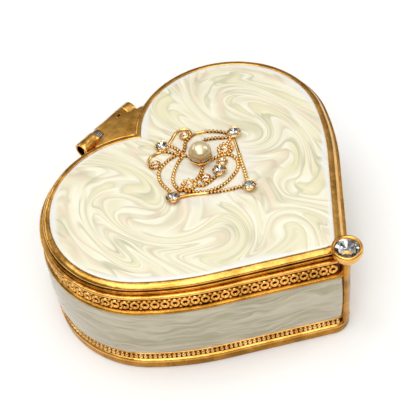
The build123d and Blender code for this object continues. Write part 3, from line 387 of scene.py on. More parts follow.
# ---------------------------------------------------------------------------
# Mesh building, in millimetres
# ---------------------------------------------------------------------------
class Piece:
    def __init__(self):
        self.v, self.f, self.m, self.attr = [], [], [], []

    def add(self, verts, faces, mi=0, attr=None):
        o = len(self.v)
        verts = [tuple(map(float, p)) for p in verts]
        self.v += verts
        self.f += [tuple(i + o for i in f) for f in faces]
        self.m += [mi] * len(faces) if isinstance(mi, int) else list(mi)
        self.attr += list(attr) if attr is not None else [0.0] * len(verts)
        return self

    def make(self, name, body, mats, slot, replaces=(), sharp=38, rim=False):
        me = bpy.data.meshes.new(name)
        me.from_pydata([(x * MM, y * MM, z * MM) for x, y, z in self.v], [], self.f)
        for mt in mats:
            me.materials.append(mt)
        me.polygons.foreach_set("material_index", self.m)
        if rim:
            a = me.attributes.new("rim", "FLOAT", "POINT")
            a.data.foreach_set("value", self.attr)
        bm = bmesh.new()
        bm.from_mesh(me)
        bmesh.ops.remove_doubles(bm, verts=bm.verts, dist=1e-8)
        bmesh.ops.dissolve_degenerate(bm, dist=1e-8, edges=bm.edges)
        bmesh.ops.recalc_face_normals(bm, faces=bm.faces)
        bm.to_mesh(me)
        bm.free()
        me.polygons.foreach_set("use_smooth", [True] * len(me.polygons))
        if sharp:
            me.set_sharp_from_angle(angle=radians(sharp))
        me.update()
        ob = bpy.data.objects.new(name, me)
        bpy.context.scene.collection.objects.link(ob)
        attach(ob, body)
        if replaces:
            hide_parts(*replaces)
        return ob


LX, LY, LR = 17.31, 10.83, 23.83
SR, JA, FA, TR = 74.8, radians(-36.87), radians(38.27), 1.0
NA = FA - pi / 2
C2X, C2Y = LX - (SR - LR) * cos(JA), LY - (SR - LR) * sin(JA)
NT, NF, NS, NL = 10, 40, 30, 116


def half(off, full=False):
    """Right half of the heart from tip to cleft: points and outward normals."""
    r1, r2, rt = LR + off, SR + off, max(TR + off, 0.6)
    j2 = (C2X + r2 * cos(NA), C2Y + r2 * sin(NA))
    yc = j2[1] - j2[0] * tan(FA) + rt / cos(FA)
    ae = atan2(sqrt(max(r1 * r1 - LX * LX, 1e-9)), -LX)
    p, n = [], []
    for k in range(NT):
        a = -pi / 2 + (NA + pi / 2) * k / NT
        p.append((rt * cos(a), yc + rt * sin(a)))
        n.append((cos(a), sin(a)))
    t1 = (rt * cos(NA), yc + rt * sin(NA))
    for k in range(NF):
        u = k / NF
        p.append((t1[0] + (j2[0] - t1[0]) * u, t1[1] + (j2[1] - t1[1]) * u))
        n.append((cos(NA), sin(NA)))
    for k in range(NS):
        a = NA + (JA - NA) * k / NS
        p.append((C2X + r2 * cos(a), C2Y + r2 * sin(a)))
        n.append((cos(a), sin(a)))
    for k in range(NL + 1):
        a = JA + (ae - JA) * k / NL
        p.append((LX + r1 * cos(a), LY + r1 * sin(a)))
        n.append((cos(a), sin(a)))
    p[0] = (0.0, p[0][1])
    p[-1] = (0.0, p[-1][1])
    return np.array(p), np.array(n)


def ring(off):
    p, n = half(off)
    left = p[1:-1][::-1] * np.array([-1, 1])
    return np.vstack([p, left])


def at_z(pts, z):
    return np.column_stack([pts, np.full(len(pts), z)])


def loft(rings, closed=True, loop=False, cap0=False, cap1=False):
    n = len(rings[0])
    V = np.vstack(rings)
    F = []
    last = len(rings) if loop else len(rings) - 1
    for i in range(last):
        a, b = i * n, ((i + 1) % len(rings)) * n
        for j in range(n if closed else n - 1):
            k = (j + 1) % n
            F.append((a + j, a + k, b + k, b + j))
    if cap0:
        F.append(tuple(range(n))[::-1])
    if cap1:
        F.append(tuple((len(rings) - 1) * n + j for j in range(n)))
    return V, F


def sweep(profile, loop=True, cap0=False, cap1=False):
    return loft([at_z(ring(o), z) for o, z in profile], loop=loop, cap0=cap0, cap1=cap1)


def revolve(profile, n, centre=(0, 0, 0), frame3=None, loop=False):
    """profile (r, h) turned about h; frame3 = (ex, ey, eh)."""
    ex, ey, eh = frame3 or (Vector((1, 0, 0)), Vector((0, 1, 0)), Vector((0, 0, 1)))
    c = Vector(centre)
    V, idx = [], []
    for r, h in profile:
        if r < 1e-6:
            idx.append([len(V)] * n)
            V.append(tuple(c + eh * h))
        else:
            idx.append(list(range(len(V), len(V) + n)))
            for k in range(n):
                a = 2 * pi * k / n
                V.append(tuple(c + ex * (r * cos(a)) + ey * (r * sin(a)) + eh * h))
    F = []
    m = len(profile)
    for i in range(m if loop else m - 1):
        A, B = idx[i], idx[(i + 1) % m]
        for k in range(n):
            q = [A[k], A[(k + 1) % n], B[(k + 1) % n], B[k]]
            q = [q[i2] for i2 in range(4) if q[i2] != q[i2 - 1]]
            if len(q) > 2:
                F.append(tuple(q))
    return V, F


def frame_of(nrm, up=(0, 0, 1)):
    """(tangent, up-ish, normal) for something standing on a wall."""
    nv = Vector(nrm).normalized()
    t = Vector(up).cross(nv).normalized()
    return t, nv.cross(t), nv


def torus(centre, fr, R, r, nu=18, nv=8, sx=1.0):
    ex, ey, en = fr
    c = Vector(centre)
    V, F = [], []
    for i in range(nu):
        a = 2 * pi * i / nu
        d = ex * (cos(a) * sx) + ey * sin(a)
        for j in range(nv):
            b = 2 * pi * j / nv
            V.append(tuple(c + d * (R + r * cos(b)) + en * (r * sin(b))))
    for i in range(nu):
        for j in range(nv):
            F.append((i * nv + j, ((i + 1) % nu) * nv + j, ((i + 1) % nu) * nv + (j + 1) % nv, i * nv + (j + 1) % nv))
    return V, F


def bead(centre, fr, rx, ry, rn, nu=10, nv=6):
    prof = [(sin(pi * k / nv), -cos(pi * k / nv)) for k in range(nv + 1)]
    prof[0], prof[-1] = (0, -1), (0, 1)
    ex, ey, en = fr
    return revolve(prof, nu, centre, (ex * rx, ey * ry, en * rn))


def tube(pts, r, n=8, closed=False, flat=1.0):
    P = [Vector(p) for p in pts]
    N = len(P)
    T = []
    for i in range(N):
        a = P[(i - 1) % N] if closed or i > 0 else P[i]
        b = P[(i + 1) % N] if closed or i < N - 1 else P[i]
        T.append((b - a).normalized())
    ref = Vector((0, 0, 1)) if abs(T[0].z) < 0.9 else Vector((1, 0, 0))
    u = (ref - T[0] * ref.dot(T[0])).normalized()
    rings = []
    for i in range(N):
        u = (u - T[i] * u.dot(T[i])).normalized()
        w = T[i].cross(u)
        rings.append(np.array([tuple(P[i] + u * (r * flat * cos(2 * pi * k / n)) + w * (r * sin(2 * pi * k / n)))
                               for k in range(n)]))
    return loft(rings, loop=closed, cap0=not closed, cap1=not closed)


def spline(pts, step=0.16, closed=False):
    """Catmull-Rom through the points, resampled evenly."""
    P = [np.array(p, float) for p in pts]
    if closed:
        P = [P[-1]] + P + [P[0], P[1]]
    else:
        P = [2 * P[0] - P[1]] + P + [2 * P[-1] - P[-2]]
    out = []
    for i in range(1, len(P) - 2):
        p0, p1, p2, p3 = P[i - 1], P[i], P[i + 1], P[i + 2]
        for k in range(24):
            t = k / 24
            out.append(0.5 * ((2 * p1) + (-p0 + p2) * t + (2 * p0 - 5 * p1 + 4 * p2 - p3) * t * t
                              + (-p0 + 3 * p1 - 3 * p2 + p3) * t ** 3))
    if not closed:
        out.append(P[-2])
    out = np.array(out)
    if closed:
        out = np.vstack([out, out[:1]])
    s = np.concatenate([[0], np.cumsum(np.linalg.norm(np.diff(out, axis=0), axis=1))])
    n = max(3, int(round(s[-1] / step)))
    q = np.linspace(0, s[-1], n + 1)
    r = np.column_stack([np.interp(q, s, out[:, i]) for i in range(out.shape[1])])
    return r[:-1] if closed else r


def plate(outline, z0, z1, holes=(), n=40):
    """A flat plate with round holes; outline is a closed list of (x, y)."""
    bm = bmesh.new()
    loops = [[tuple(p) for p in outline]]
    for x, y, r in holes:
        loops.append([(x + r * cos(2 * pi * k / n), y + r * sin(2 * pi * k / n)) for k in range(n)])
    edges, vl = [], []
    for lp in loops:
        vs = [bm.verts.new((p[0], p[1], 0)) for p in lp]
        vl.append(len(vs))
        for i in range(len(vs)):
            edges.append(bm.edges.new((vs[i], vs[(i + 1) % len(vs)])))
    bm.verts.index_update()
    bmesh.ops.triangle_fill(bm, use_beauty=True, edges=edges)
    V = [(v.co.x, v.co.y) for v in bm.verts]
    F = [tuple(v.index for v in f.verts) for f in bm.faces]
    bm.free()
    m = len(V)
    verts = [(x, y, z0) for x, y in V] + [(x, y, z1) for x, y in V]
    faces = [f[::-1] for f in F] + [tuple(i + m for i in f) for f in F]
    o = 0
    for c in vl:
        for i in range(c):
            j = (i + 1) % c
            faces.append((o + i, o + j, o + j + m, o + i + m))
        o += c
    return verts, faces


def along(off, pitch, s0, s1):
    """Evenly spaced stations on the right half between arc lengths s0 and s1 from tip and cleft."""
    p, n = half(off)
    s = np.concatenate([[0], np.cumsum(np.linalg.norm(np.diff(p, axis=0), axis=1))])
    a, b = s0, s[-1] - s1
    k = int(round((b - a) / pitch))
    q = np.linspace(a, b, k + 1)
    return [((np.interp(t, s, p[:, 0]), np.interp(t, s, p[:, 1])), (np.interp(t, s, n[:, 0]), np.interp(t, s, n[:, 1])))
            for t in q]


def both(stations):
    for (x, y), (nx, ny) in stations:
        for sgn in (1, -1):
            yield (sgn * x, y), (sgn * nx, ny)


# ---------------------------------------------------------------------------
# Case
# ---------------------------------------------------------------------------
OUT = [(3.0, 0.0), (3.5, 0.0), (3.7, 0.06), (3.84, 0.22), (3.9, 0.5), (3.9, 1.0), (3.88, 1.5), (3.8, 1.85), (3.68, 2.05),
       (3.66, 2.2), (3.78, 2.32), (3.94, 2.48), (4.0, 2.7), (4.02, 2.92), (3.98, 3.14), (3.86, 3.34), (3.66, 3.48),
       (3.4, 3.6), (3.15, 3.75), (3.06, 4.1), (3.04, 4.6), (3.05, 5.2), (3.08, 5.5), (3.16, 5.62), (3.28, 5.7), (3.38, 5.78),
       (3.44, 5.88), (3.44, 5.98), (3.38, 6.07), (3.26, 6.13), (3.12, 6.2), (3.04, 6.4), (3.04, 23.1), (3.1, 23.3),
       (3.3, 23.36), (3.44, 23.44), (3.5, 23.62), (3.5, 23.85), (3.44, 24.1), (3.28, 24.26), (3.0, 24.36), (2.65, 24.46),
       (2.5, 24.7), (2.45, 25.4), (2.43, 26.8), (2.45, 28.2), (2.5, 28.8), (2.6, 29.0), (2.8, 29.08), (3.0, 29.16),
       (3.08, 29.34), (3.1, 29.6), (3.04, 29.84), (2.92, 29.96), (2.75, 30.0)]
IN = [(2.1, 30.0), (1.9, 29.95), (1.8, 29.82), (1.8, 24.1), (1.75, 24.0), (-0.6, 24.0), (-0.7, 23.9), (-0.7, 22.7),
      (-0.6, 22.6), (1.7, 22.6), (1.8, 22.5), (1.8, 10.3), (1.7, 10.2), (-1.1, 10.2), (-1.2, 10.1), (-1.2, 8.8),
      (-1.1, 8.7), (1.7, 8.7), (1.8, 8.6), (1.8, 0.25), (1.9, 0.08), (2.1, 0.0)]
prof = OUT + IN
case = Piece()
V, F = sweep(prof, loop=True)
nring = len(ring(0))
mi = []
for i in range(len(prof)):
    z = prof[i][1]
    # Painted shade: the milgrain floor and ring band floor rows take the near-black recess gold; the base band and the
    # ridge below the ring band take the darker wall gold.
    recess_shade_row = (i < len(OUT) and (17 <= i <= 21 or 41 <= i <= 46))
    inner = len(OUT) <= i < len(prof) - 1
    wall = i < 11 or 34 <= i <= 41
    mi += [1 if recess_shade_row else (2 if inner else (3 if wall else 0))] * nring
case.add(V, F, mi)

# magnet shelf in the tip
def tip_outline(off, ycut):
    p = ring(off)
    n = len(p)
    sel = [i for i in range(-NT - NF, NT + NF + 1) if p[i % n][1] < ycut]
    pts = [tuple(p[i % n]) for i in sel]
    a, b = pts[0], pts[-1]
    pts = [(a[0] - (ycut - a[1]) / tan(FA), ycut)] + pts + [(b[0] + (ycut - b[1]) / tan(FA), ycut)]
    return pts


MAGY = -29.9
for z0, z1, holes in ((22.7, 28.6, ()), (28.6, 29.95, ((0, MAGY, 2.05),))):
    V, F = plate(tip_outline(2.0, -27.0), z0, z1, holes)
    case.add(V, F, 2)

# plain post down the tip
def tip_strip(u, off):
    """Point near the tip at sideways position u (mm along the wall, + to the right)."""
    r = max(TR + off, 0.6)
    j2x, j2y = C2X + (SR + off) * cos(NA), C2Y + (SR + off) * sin(NA)
    yc = j2y - j2x * tan(FA) + r / cos(FA)
    a = abs(u) / (TR + 4.0)
    amax = NA + pi / 2
    if a <= amax:
        x, y = r * sin(a), yc - r * cos(a)
    else:
        d = (a - amax) * (TR + 4.0)
        x, y = r * sin(amax) + d * cos(FA), yc - r * cos(amax) + d * sin(FA)
    return (x if u >= 0 else -x), y


POST = 1.15
zs = [3.2, 3.4, 3.7, 4.3, 6, 10, 16, 21, 23, 24.6, 26, 28, 29.0, 29.5, 29.75, 29.9]
us = [-POST, -POST + 0.08, -POST + 0.22, -POST + 0.45, -0.35, 0.0, 0.35, POST - 0.45, POST - 0.22, POST - 0.08, POST]
lift = {POST: 0.0, POST - 0.08: 0.45, POST - 0.22: 0.80, POST - 0.45: 1.0}
rings_ = []
for z in zs:
    k = 1.0 if 3.7 <= z <= 29.5 else (0.75 if z in (3.4, 29.75) else 0.45)
    row = []
    for u in us:
        e = lift.get(round(abs(u), 3), 1.0) if round(abs(u), 3) in [round(q, 3) for q in lift] else 1.0
        for q, w in lift.items():
            if abs(abs(u) - q) < 1e-6:
                e = w
        row.append((*tip_strip(u, 3.0 + 1.25 * e * k), z))
    for u in reversed(us):
        row.append((*tip_strip(u, 2.6), z))
    rings_.append(np.array(row))
V, F = loft(rings_, closed=True, loop=False, cap0=True, cap1=True)
# Painted shade: the post takes the darker wall gold.
case.add(V, F, 3)
case_ob = case.make("case_body", "case", [GOLD, GOLD_RECESS_SHADE, GOLD_SATIN, GOLD_WALL_SHADED], "antique_gold", ("body_shell",))

# raised rings round the top band, with small grains between them
band = Piece()
pitch = 2.42
st = along(2.45, pitch, 2.9, 2.0)
pos = [s for s in st if not (abs(s[0][0]) < 13.4 and s[0][1] > 17)]
for (x, y), (nx, ny) in both(pos):
    fr = frame_of((nx, ny, 0))
    j = rng.uniform(-0.03, 0.03)
    c = (x + nx * 0.22, y + ny * 0.22, 26.75 + j)
    V, F = torus(c, fr, 0.86, 0.35, 20, 8, 0.98)
    V = [(vx, vy, c[2] + (vz - c[2]) * 1.28) for vx, vy, vz in V]
    band.add(V, F, 0)
mid = []
for a, b in zip(st[:-1], st[1:]):
    (x0, y0), n0 = a
    (x1, y1), n1 = b
    mid.append((((x0 + x1) / 2, (y0 + y1) / 2), ((n0[0] + n1[0]) / 2, (n0[1] + n1[1]) / 2)))
for (x, y), (nx, ny) in both([s for s in mid if not (abs(s[0][0]) < 13.4 and s[0][1] > 17)]):
    fr = frame_of((nx, ny, 0))
    for dz in (-1.52, 1.48):
        V, F = bead((x + nx * 0.12, y + ny * 0.12, 26.75 + dz), fr, 0.50, 0.42, 0.42, 8, 6)
        band.add(V, F, 0)
band.make("ring_band", "case", [GOLD, GOLD_RECESS_SHADE], "antique_gold")

grain = Piece()
for (x, y), (nx, ny) in both(along(3.04, 1.22, 2.1, 0.9)):
    fr = frame_of((nx, ny, 0))
    V, F = bead((x + nx * 0.12, y + ny * 0.12, 4.68 + rng.uniform(-0.05, 0.05)), fr, 0.61, 1.02, 0.72, 12, 6)
    grain.add(V, F, 0)
grain.make("milgrain_row", "case", [GOLD_WIRE], "antique_gold")


# side enamel, two pillowed panels with rounded corners
def enamel_panel(sgn):
    off0, full = 3.04, 0.56
    p, n = half(3.6)
    s = np.concatenate([[0], np.cumsum(np.linalg.norm(np.diff(p, axis=0), axis=1))])
    ends = [i for i in range(len(p)) if i > NT + NF + NS and p[i][0] < 13.0 and p[i][1] > 17]
    s_end = s[ends[0]]
    s_start = POST - 0.12
    L = s_end - s_start
    dense = [0, 0.03, 0.1, 0.22, 0.4, 0.65, 1.0, 1.4, 1.9, 2.5]
    us_ = dense + list(np.linspace(3.2, L - 3.2, 150)) + [L - d for d in reversed(dense)]
    z0, z1, rc = 6.14, 23.36, 1.5
    H = z1 - z0
    fz = [0, 0.03, 0.1, 0.22, 0.4, 0.65, 1.0, 1.5]
    cols, att = [], []
    for u in us_:
        du = min(u, L - u)
        m = rc - sqrt(max(rc * rc - (rc - du) ** 2, 0)) if du < rc else 0.0
        h = H - 2 * m
        k = min(1.0, h / 4.0)
        vv = [f * k for f in fz] + list(np.linspace(fz[-1] * k, h - fz[-1] * k, 12)[1:-1]) + [h - f * k for f in reversed(fz)]
        t = s_start + u
        px, py = np.interp(t, s, p[:, 0]), np.interp(t, s, p[:, 1])
        nx, ny = np.interp(t, s, n[:, 0]), np.interp(t, s, n[:, 1])
        row, ar = [], []
        for w in vv:
            d = min(du, w, h - w)
            lift_ = full * (1 - np.exp(-d / 0.35)) + 0.44 * sin(pi * (w / h) ** 0.8) + 0.035 * sin(0.31 * t + 0.8 * (w + m)) * min(1, d)
            o = off0 + lift_ - 3.6
            row.append((sgn * (px + nx * o), py + ny * o, z0 + m + w))
            ar.append(float(np.exp(-d / 0.55)))
        cols.append((row, ar))
    nc, nr = len(cols), len(cols[0][0])
    V = [pt for row, _ in cols for pt in row]
    A = [a for _, ar in cols for a in ar]
    back = []
    for ci, u in enumerate(us_):
        t = s_start + u
        px, py = np.interp(t, s, p[:, 0]), np.interp(t, s, p[:, 1])
        nx, ny = np.interp(t, s, n[:, 0]), np.interp(t, s, n[:, 1])
        back.append((sgn * (px + nx * (3.1 - 3.6)), py + ny * (3.1 - 3.6), cols[ci][0][0][2]))
        back.append((sgn * (px + nx * (3.1 - 3.6)), py + ny * (3.1 - 3.6), cols[ci][0][-1][2]))
    o = len(V)
    V += back
    A += [1.0] * len(back)
    F = []
    for i in range(nc - 1):
        for j in range(nr - 1):
            F.append((i * nr + j, (i + 1) * nr + j, (i + 1) * nr + j + 1, i * nr + j + 1))
        F.append((i * nr, o + 2 * i, o + 2 * (i + 1), (i + 1) * nr))
        F.append((i * nr + nr - 1, (i + 1) * nr + nr - 1, o + 2 * (i + 1) + 1, o + 2 * i + 1))
        F.append((o + 2 * i, o + 2 * i + 1, o + 2 * (i + 1) + 1, o + 2 * (i + 1)))
    for i in (0, nc - 1):
        F.append(tuple([i * nr + j for j in range(nr)] + [o + 2 * i + 1, o + 2 * i]))
    pc = Piece().add(V, F, 0, A)
    return pc.make("side_panel_right" if sgn > 0 else "side_panel_left", "case", [SIDE_ENAMEL], "side_pearl_enamel",
                   ("side_enamel_right",) if sgn > 0 else ("side_enamel_left",), rim=True)


enamel_panel(1)
enamel_panel(-1)

# ---------------------------------------------------------------------------
# Lid
# ---------------------------------------------------------------------------
LID = [(-0.2, 30.8), (-0.2, 30.16), (-0.12, 30.1), (1.8, 30.1), (2.0, 30.12), (2.12, 30.2), (2.18, 30.34), (2.2, 30.5),
       (2.18, 30.66), (2.1, 30.8), (1.95, 30.88), (1.78, 30.93), (1.62, 31.0), (1.54, 31.08), (1.52, 31.16), (1.58, 31.24),
       (1.7, 31.32), (1.8, 31.42), (1.84, 31.56), (1.78, 31.76), (1.62, 31.97), (1.38, 32.16), (1.08, 32.3), (0.76, 32.38),
       (0.46, 32.41), (0.2, 32.4), (0.04, 32.36), (-0.03, 32.28), (-0.06, 32.12), (-0.08, 31.9)]
LID_R = {9: 2.2, 10: 2.18, 11: 2.16, 12: 2.12, 13: 2.06, 14: 2.0, 15: 1.95, 16: 1.88, 17: 1.82, 18: 1.76, 19: 1.66, 20: 1.52, 21: 1.32}
lid = Piece()
nhalf = len(half(0)[0])
wgt = np.zeros(nring)
for j in range(nhalf):
    u = (j - (NT + NF + NS)) / NL
    wgt[j] = min(1.0, j / 8.0) * (1.0 if u < 0.14 else max(0.0, 1 - (u - 0.14) / 0.16))
rows5 = []
for i, (o, z) in enumerate(LID):
    a5 = ring(o)
    if i in LID_R:
        a5 = a5 * (1 - wgt[:, None]) + ring(LID_R[i]) * wgt[:, None]
    rows5.append(at_z(a5, z))
V, F = loft(rows5, loop=False, cap0=True, cap1=True)
mi = []
for i in range(len(LID) - 1):
    for j in range(nring):
        # Painted shade: rim groove rows 10 to 15 take the near-black recess gold and lower band rows 5 to 9 the darker
        # wall gold, except where wgt is high along the right flank near the tip.
        mi.append((0 if wgt[j] > 0.4 else 1) if 10 <= i <= 15 else (2 if i < 3 else (3 if 5 <= i <= 9 and wgt[j] < 0.5 else 0)))
lid.add(V, F, mi + [2, 2])
V, F = plate(tip_outline(0.2, -25.4), 30.1, 30.85, ((0, MAGY, 2.05),))
lid.add(V, F, 2)
# locating lip
p14, n14 = half(1.4)
sel = [i for i in range(len(p14)) if p14[i][1] >= -26.0]
for sgn_, idxs in ((1, sel), ):
    rows = []
    full_idx = [(1, i) for i in idxs] + [(-1, i) for i in reversed(idxs[:-1])]
    for o, z in ((1.4, 30.2), (1.4, 29.1), (1.32, 28.95), (1.2, 28.9), (0.6, 28.9), (0.48, 28.95), (0.4, 29.1), (0.4, 30.2)):
        pp, _ = half(o)
        rows.append(np.array([(s_ * pp[i][0], pp[i][1], z) for s_, i in full_idx]))
    nn = len(rows[0])
    V, F = loft(rows, closed=False, loop=True)
    F.append(tuple(r * nn for r in range(len(rows))))
    F.append(tuple(r * nn + nn - 1 for r in range(len(rows)))[::-1])
    lid.add(V, F, 2)
lid.make("lid_frame", "lid", [GOLD, GOLD_RECESS_SHADE, GOLD_SATIN, GOLD_WALL_SHADED], "antique_gold", ("lid_shell",))


def lid_enamel():
    edge = [(-0.06, 31.92), (-0.06, 32.2), (-0.12, 32.3), (-0.28, 32.38), (-0.55, 32.42), (-0.9, 32.43), (-1.3, 32.43)]
    rings3 = [at_z(ring(o), z) for o, z in edge]
    V, F = loft(rings3, closed=True, loop=False)
    V = [tuple(v) for v in V]
    n = nring
    inner = ring(-1.3)
    # interior points
    pts, step = [], 1.05
    for j in range(int(86 / step)):
        for i in range(int(90 / step)):
            pts.append((-45 + i * step + (0.5 * step if j % 2 else 0), -42 + j * step * 0.92))
    pts = np.array(pts)
    poly = ring(-2.0)
    a, b = poly, np.roll(poly, -1, axis=0)
    inside = np.zeros(len(pts), bool)
    for (x0, y0), (x1, y1) in zip(a, b):
        c = ((y0 > pts[:, 1]) != (y1 > pts[:, 1]))
        with np.errstate(divide="ignore", invalid="ignore"):
            xi = (x1 - x0) * (pts[:, 1] - y0) / (y1 - y0) + x0
        inside ^= c & (pts[:, 0] < xi)
    pts = pts[inside]
    co = [Vector((float(x), float(y))) for x, y in inner] + [Vector((float(x), float(y))) for x, y in pts]
    loop = [list(range(n))]
    vc, _, fc, ov, _, _ = geometry.delaunay_2d_cdt(co, [], loop, 1, 1e-5)
    outl = ring(0.0)
    base = len(V) - n

    def top(x, y):
        w = 0.030 * sin(0.21 * x + 0.11 * y + 0.7) + 0.026 * sin(0.13 * x - 0.27 * y + 2.1) + 0.016 * sin(0.42 * x + 0.36 * y)
        return w
    new = {}
    dmin = []
    for i, v in enumerate(vc):
        d = float(np.min(np.hypot(outl[:, 0] - v.x, outl[:, 1] - v.y)))
        dmin.append(d)
        k = next((q for q in ov[i] if q < n), None)
        if k is not None:
            new[i] = base + k
        else:
            fade = min(1.0, max(0.0, (d - 1.3) / 3.0))
            new[i] = len(V)
            V.append((v.x, v.y, 32.43 + fade * (0.03 + top(v.x, v.y))))
    F += [tuple(new[i] for i in f) for f in fc]
    F.append(tuple(range(n))[::-1])
    Va = np.array(V)
    D = np.array([float(np.min(np.hypot(outl[:, 0] - x, outl[:, 1] - y))) for x, y in Va[:, :2]])
    wig = 0.35 * np.sin(0.35 * Va[:, 0]) + 0.3 * np.sin(0.28 * Va[:, 1] + 1.0)
    A = np.clip(np.exp(-np.maximum(D - 0.9 - wig, 0) / 0.75), 0, 1)
    return Piece().add(V, F, 0, A.tolist()).make("lid_enamel_field", "lid", [LID_ENAMEL], "lid_pearl_enamel",
                                                  ("lid_enamel",), rim=True)


lid_enamel()

# ---------------------------------------------------------------------------
# Hinge
# ---------------------------------------------------------------------------
HY, HZ, KR = 39.2, 29.2, 2.58
HX = (Vector((0, 1, 0)), Vector((0, 0, 1)), Vector((1, 0, 0)))      # turned about +X


def curl(x0, x1, slit, hollow0, hollow1, n=96):
    """Rolled sheet barrel along X; slit is the angle where the sheet's edge meets the leaf."""
    outer = [(KR - 0.2, 0.0), (KR - 0.06, 0.05), (KR, 0.16)]
    L = x1 - x0
    prof_ = [(0.93, hollow0)] + ([(1.95, hollow0), (1.95, 0.12), (2.05, 0.02)] if hollow0 > 0 else [(1.05, 0.0)])
    prof_ += outer + [(KR, t) for t in np.linspace(0.16, L - 0.16, 8)[1:-1]]
    prof_ += [(r, L - h) for r, h in reversed(outer)]
    tail = ([(2.05, L - 0.02), (1.95, L - 0.12), (1.95, L - hollow1)] if hollow1 > 0 else [(1.05, L)]) + [(0.93, L - hollow1)]
    prof_ += tail
    V, F = revolve(prof_, n, (x0, HY, HZ), HX, loop=True)
    mi = []
    for i in range(len(prof_)):
        # Painted shade: the bore and the insides of the hollow ends take the second slot, the near-black recess gold.
        inner = (hollow0 > 0 and i < 2) or (hollow1 > 0 and len(prof_) - 3 <= i) or i == len(prof_) - 1
        mi += [1 if inner else 0] * n
    out = []
    for x, y, z in V:
        dy, dz = y - HY, z - HZ
        r, a = sqrt(dy * dy + dz * dz), atan2(dz, dy)
        da = (a - slit + pi) % (2 * pi) - pi
        if r > 1.6:
            k = (r - 0.42 * np.exp(-(da / 0.075) ** 2)) / r
            # hand-rolled: not perfectly round
            k *= 1 - 0.012 * (1 + sin(2 * a + 0.6 * x))
            dy, dz = dy * k, dz * k
        out.append((x, HY + dy, HZ + dz))
    return out, F, mi


def bevel_prism(outline, z0, z1, b, steps=3):
    """Extruded outline with rounded top and bottom edges (outline shrinks along its vertex normals)."""
    P = np.array(outline, float)
    n = len(P)
    b = np.array(np.broadcast_to(b, n), float)
    area = 0.5 * np.sum(P[:, 0] * np.roll(P[:, 1], -1) - np.roll(P[:, 0], -1) * P[:, 1])
    if area < 0:
        P, b = P[::-1], b[::-1]
    e = np.roll(P, -1, axis=0) - P
    e /= np.linalg.norm(e, axis=1)[:, None]
    nrm = np.column_stack([e[:, 1], -e[:, 0]])
    prv = np.roll(nrm, 1, axis=0)
    mv = nrm + prv
    mv /= np.maximum(np.sum(mv * nrm, axis=1), 0.35)[:, None]
    rings4 = []
    for k in range(steps + 1):
        a = pi / 2 * k / steps
        rings4.append(np.column_stack([P - mv * (b * (1 - sin(a)))[:, None], z0 + b * (1 - cos(a))]))
    for k in range(steps + 1):
        a = pi / 2 * k / steps
        rings4.append(np.column_stack([P - mv * (b * (1 - cos(a)))[:, None], z1 - b * (1 - sin(a))]))
    return loft(rings4, closed=True, loop=False, cap0=True, cap1=True)


def cleft_plate(xs, far, off, xl=None):
    """Outline that follows the two lobes at offset off from -xl to xs and closes through the points far."""
    xl = xs if xl is None else xl

    def edge_y(x):
        return LY + sqrt((LR + off) ** 2 - (abs(x) - LX) ** 2)
    right = [(x, edge_y(x)) for x in np.linspace(xs, 0, 26)]
    left = [(-x, edge_y(x)) for x in np.linspace(0, xl, 26)[1:]]
    return right + left + far


lp = Piece()
far = [(-9.75, 35.0), (-9.4, 35.45), (-8.9, 35.7), (-5.8, 36.38), (-4.3, 36.8), (-4.06, 37.0), (-4.02, 37.3), (-4.02, 39.15),
       (5.52, 39.15), (5.52, 37.0), (5.8, 36.4), (8.9, 35.7), (9.4, 35.45), (9.75, 35.0)]
edge = cleft_plate(9.75, far, 1.25)
V, F = bevel_prism(edge, 30.15, 32.02, [0.66 if i < len(edge) - len(far) else 0.2 for i in range(len(edge))], 5)
lp.add(V, F, 0)
V, F, mi = curl(-4.1, 5.6, radians(-100), 0, 0)
lp.add(V, F, mi)
# small dimple left by the press, near the fold
V, F = torus((2.9, 38.2, 31.99), (Vector((1, 0, 0)), Vector((0, 0.42, 0)), Vector((0, 0, 1))), 0.85, 0.15, 22, 8)
lp.add(V, F, 0)
# Painted shade: the dimple's floor is the near-black recess gold.
V, F = bead((2.9, 38.2, 31.99), (Vector((1, 0, 0)), Vector((0, 1, 0)), Vector((0, 0, 1))), 0.92, 0.36, 0.09, 16, 6)
lp.add(V, F, 1)
lp.make("lid_hinge_plate", "lid", [GOLD_SATIN, GOLD_RECESS_SHADE], "antique_gold", ("hinge_lid_leaf",))

bp = Piece()
V, F = bevel_prism(cleft_plate(8.7, [(-11.2, 37.0), (8.7, 37.0)], 2.55, 11.2), 24.55, 29.75, 0.3)
bp.add(V, F, 0)
for x0, x1, h0, h1 in ((-11.3, -5.7, 2.4, 0), (5.8, 8.8, 0, 1.0)):
    V, F, mi = curl(x0, x1, radians(-158), h0, h1)
    bp.add(V, F, mi)
    xa, xb = x0 + 0.25, x1 - 0.25
    web = [(36.5, 26.9), (39.1, 26.8), (39.2, 27.8), (37.2, 29.1), (36.5, 29.2)]
    r0 = [np.array([(x, y, z) for y, z in web]) for x in (xa, xb)]
    V, F = loft(r0, closed=True, cap0=True, cap1=True)
    bp.add(V, F, 0)
# the rolled sheet's inner edge shows in the open end of the left knuckle
V, F = bevel_prism([(-11.2, 38.0), (-9.2, 38.0), (-9.2, 38.3), (-11.2, 38.3)], 28.0, 30.3, 0.1)
bp.add(V, F, 0)
bp.make("case_hinge_plate", "case", [GOLD, GOLD_RECESS_SHADE], "antique_gold", ("hinge_body_leaf",))

pin = Piece()
V, F = revolve([(0, -9.2), (0.5, -9.16), (0.78, -9.02), (0.9, -8.8), (0.9, 0), (0.9, 7.6), (0.78, 7.82), (0.5, 7.96), (0, 8.0)],
               28, (0, HY, HZ), HX)
pin.add(V, F, 0)
pin.make("hinge_pin_rod", "case", [STEEL], "steel", ("hinge_pin",))

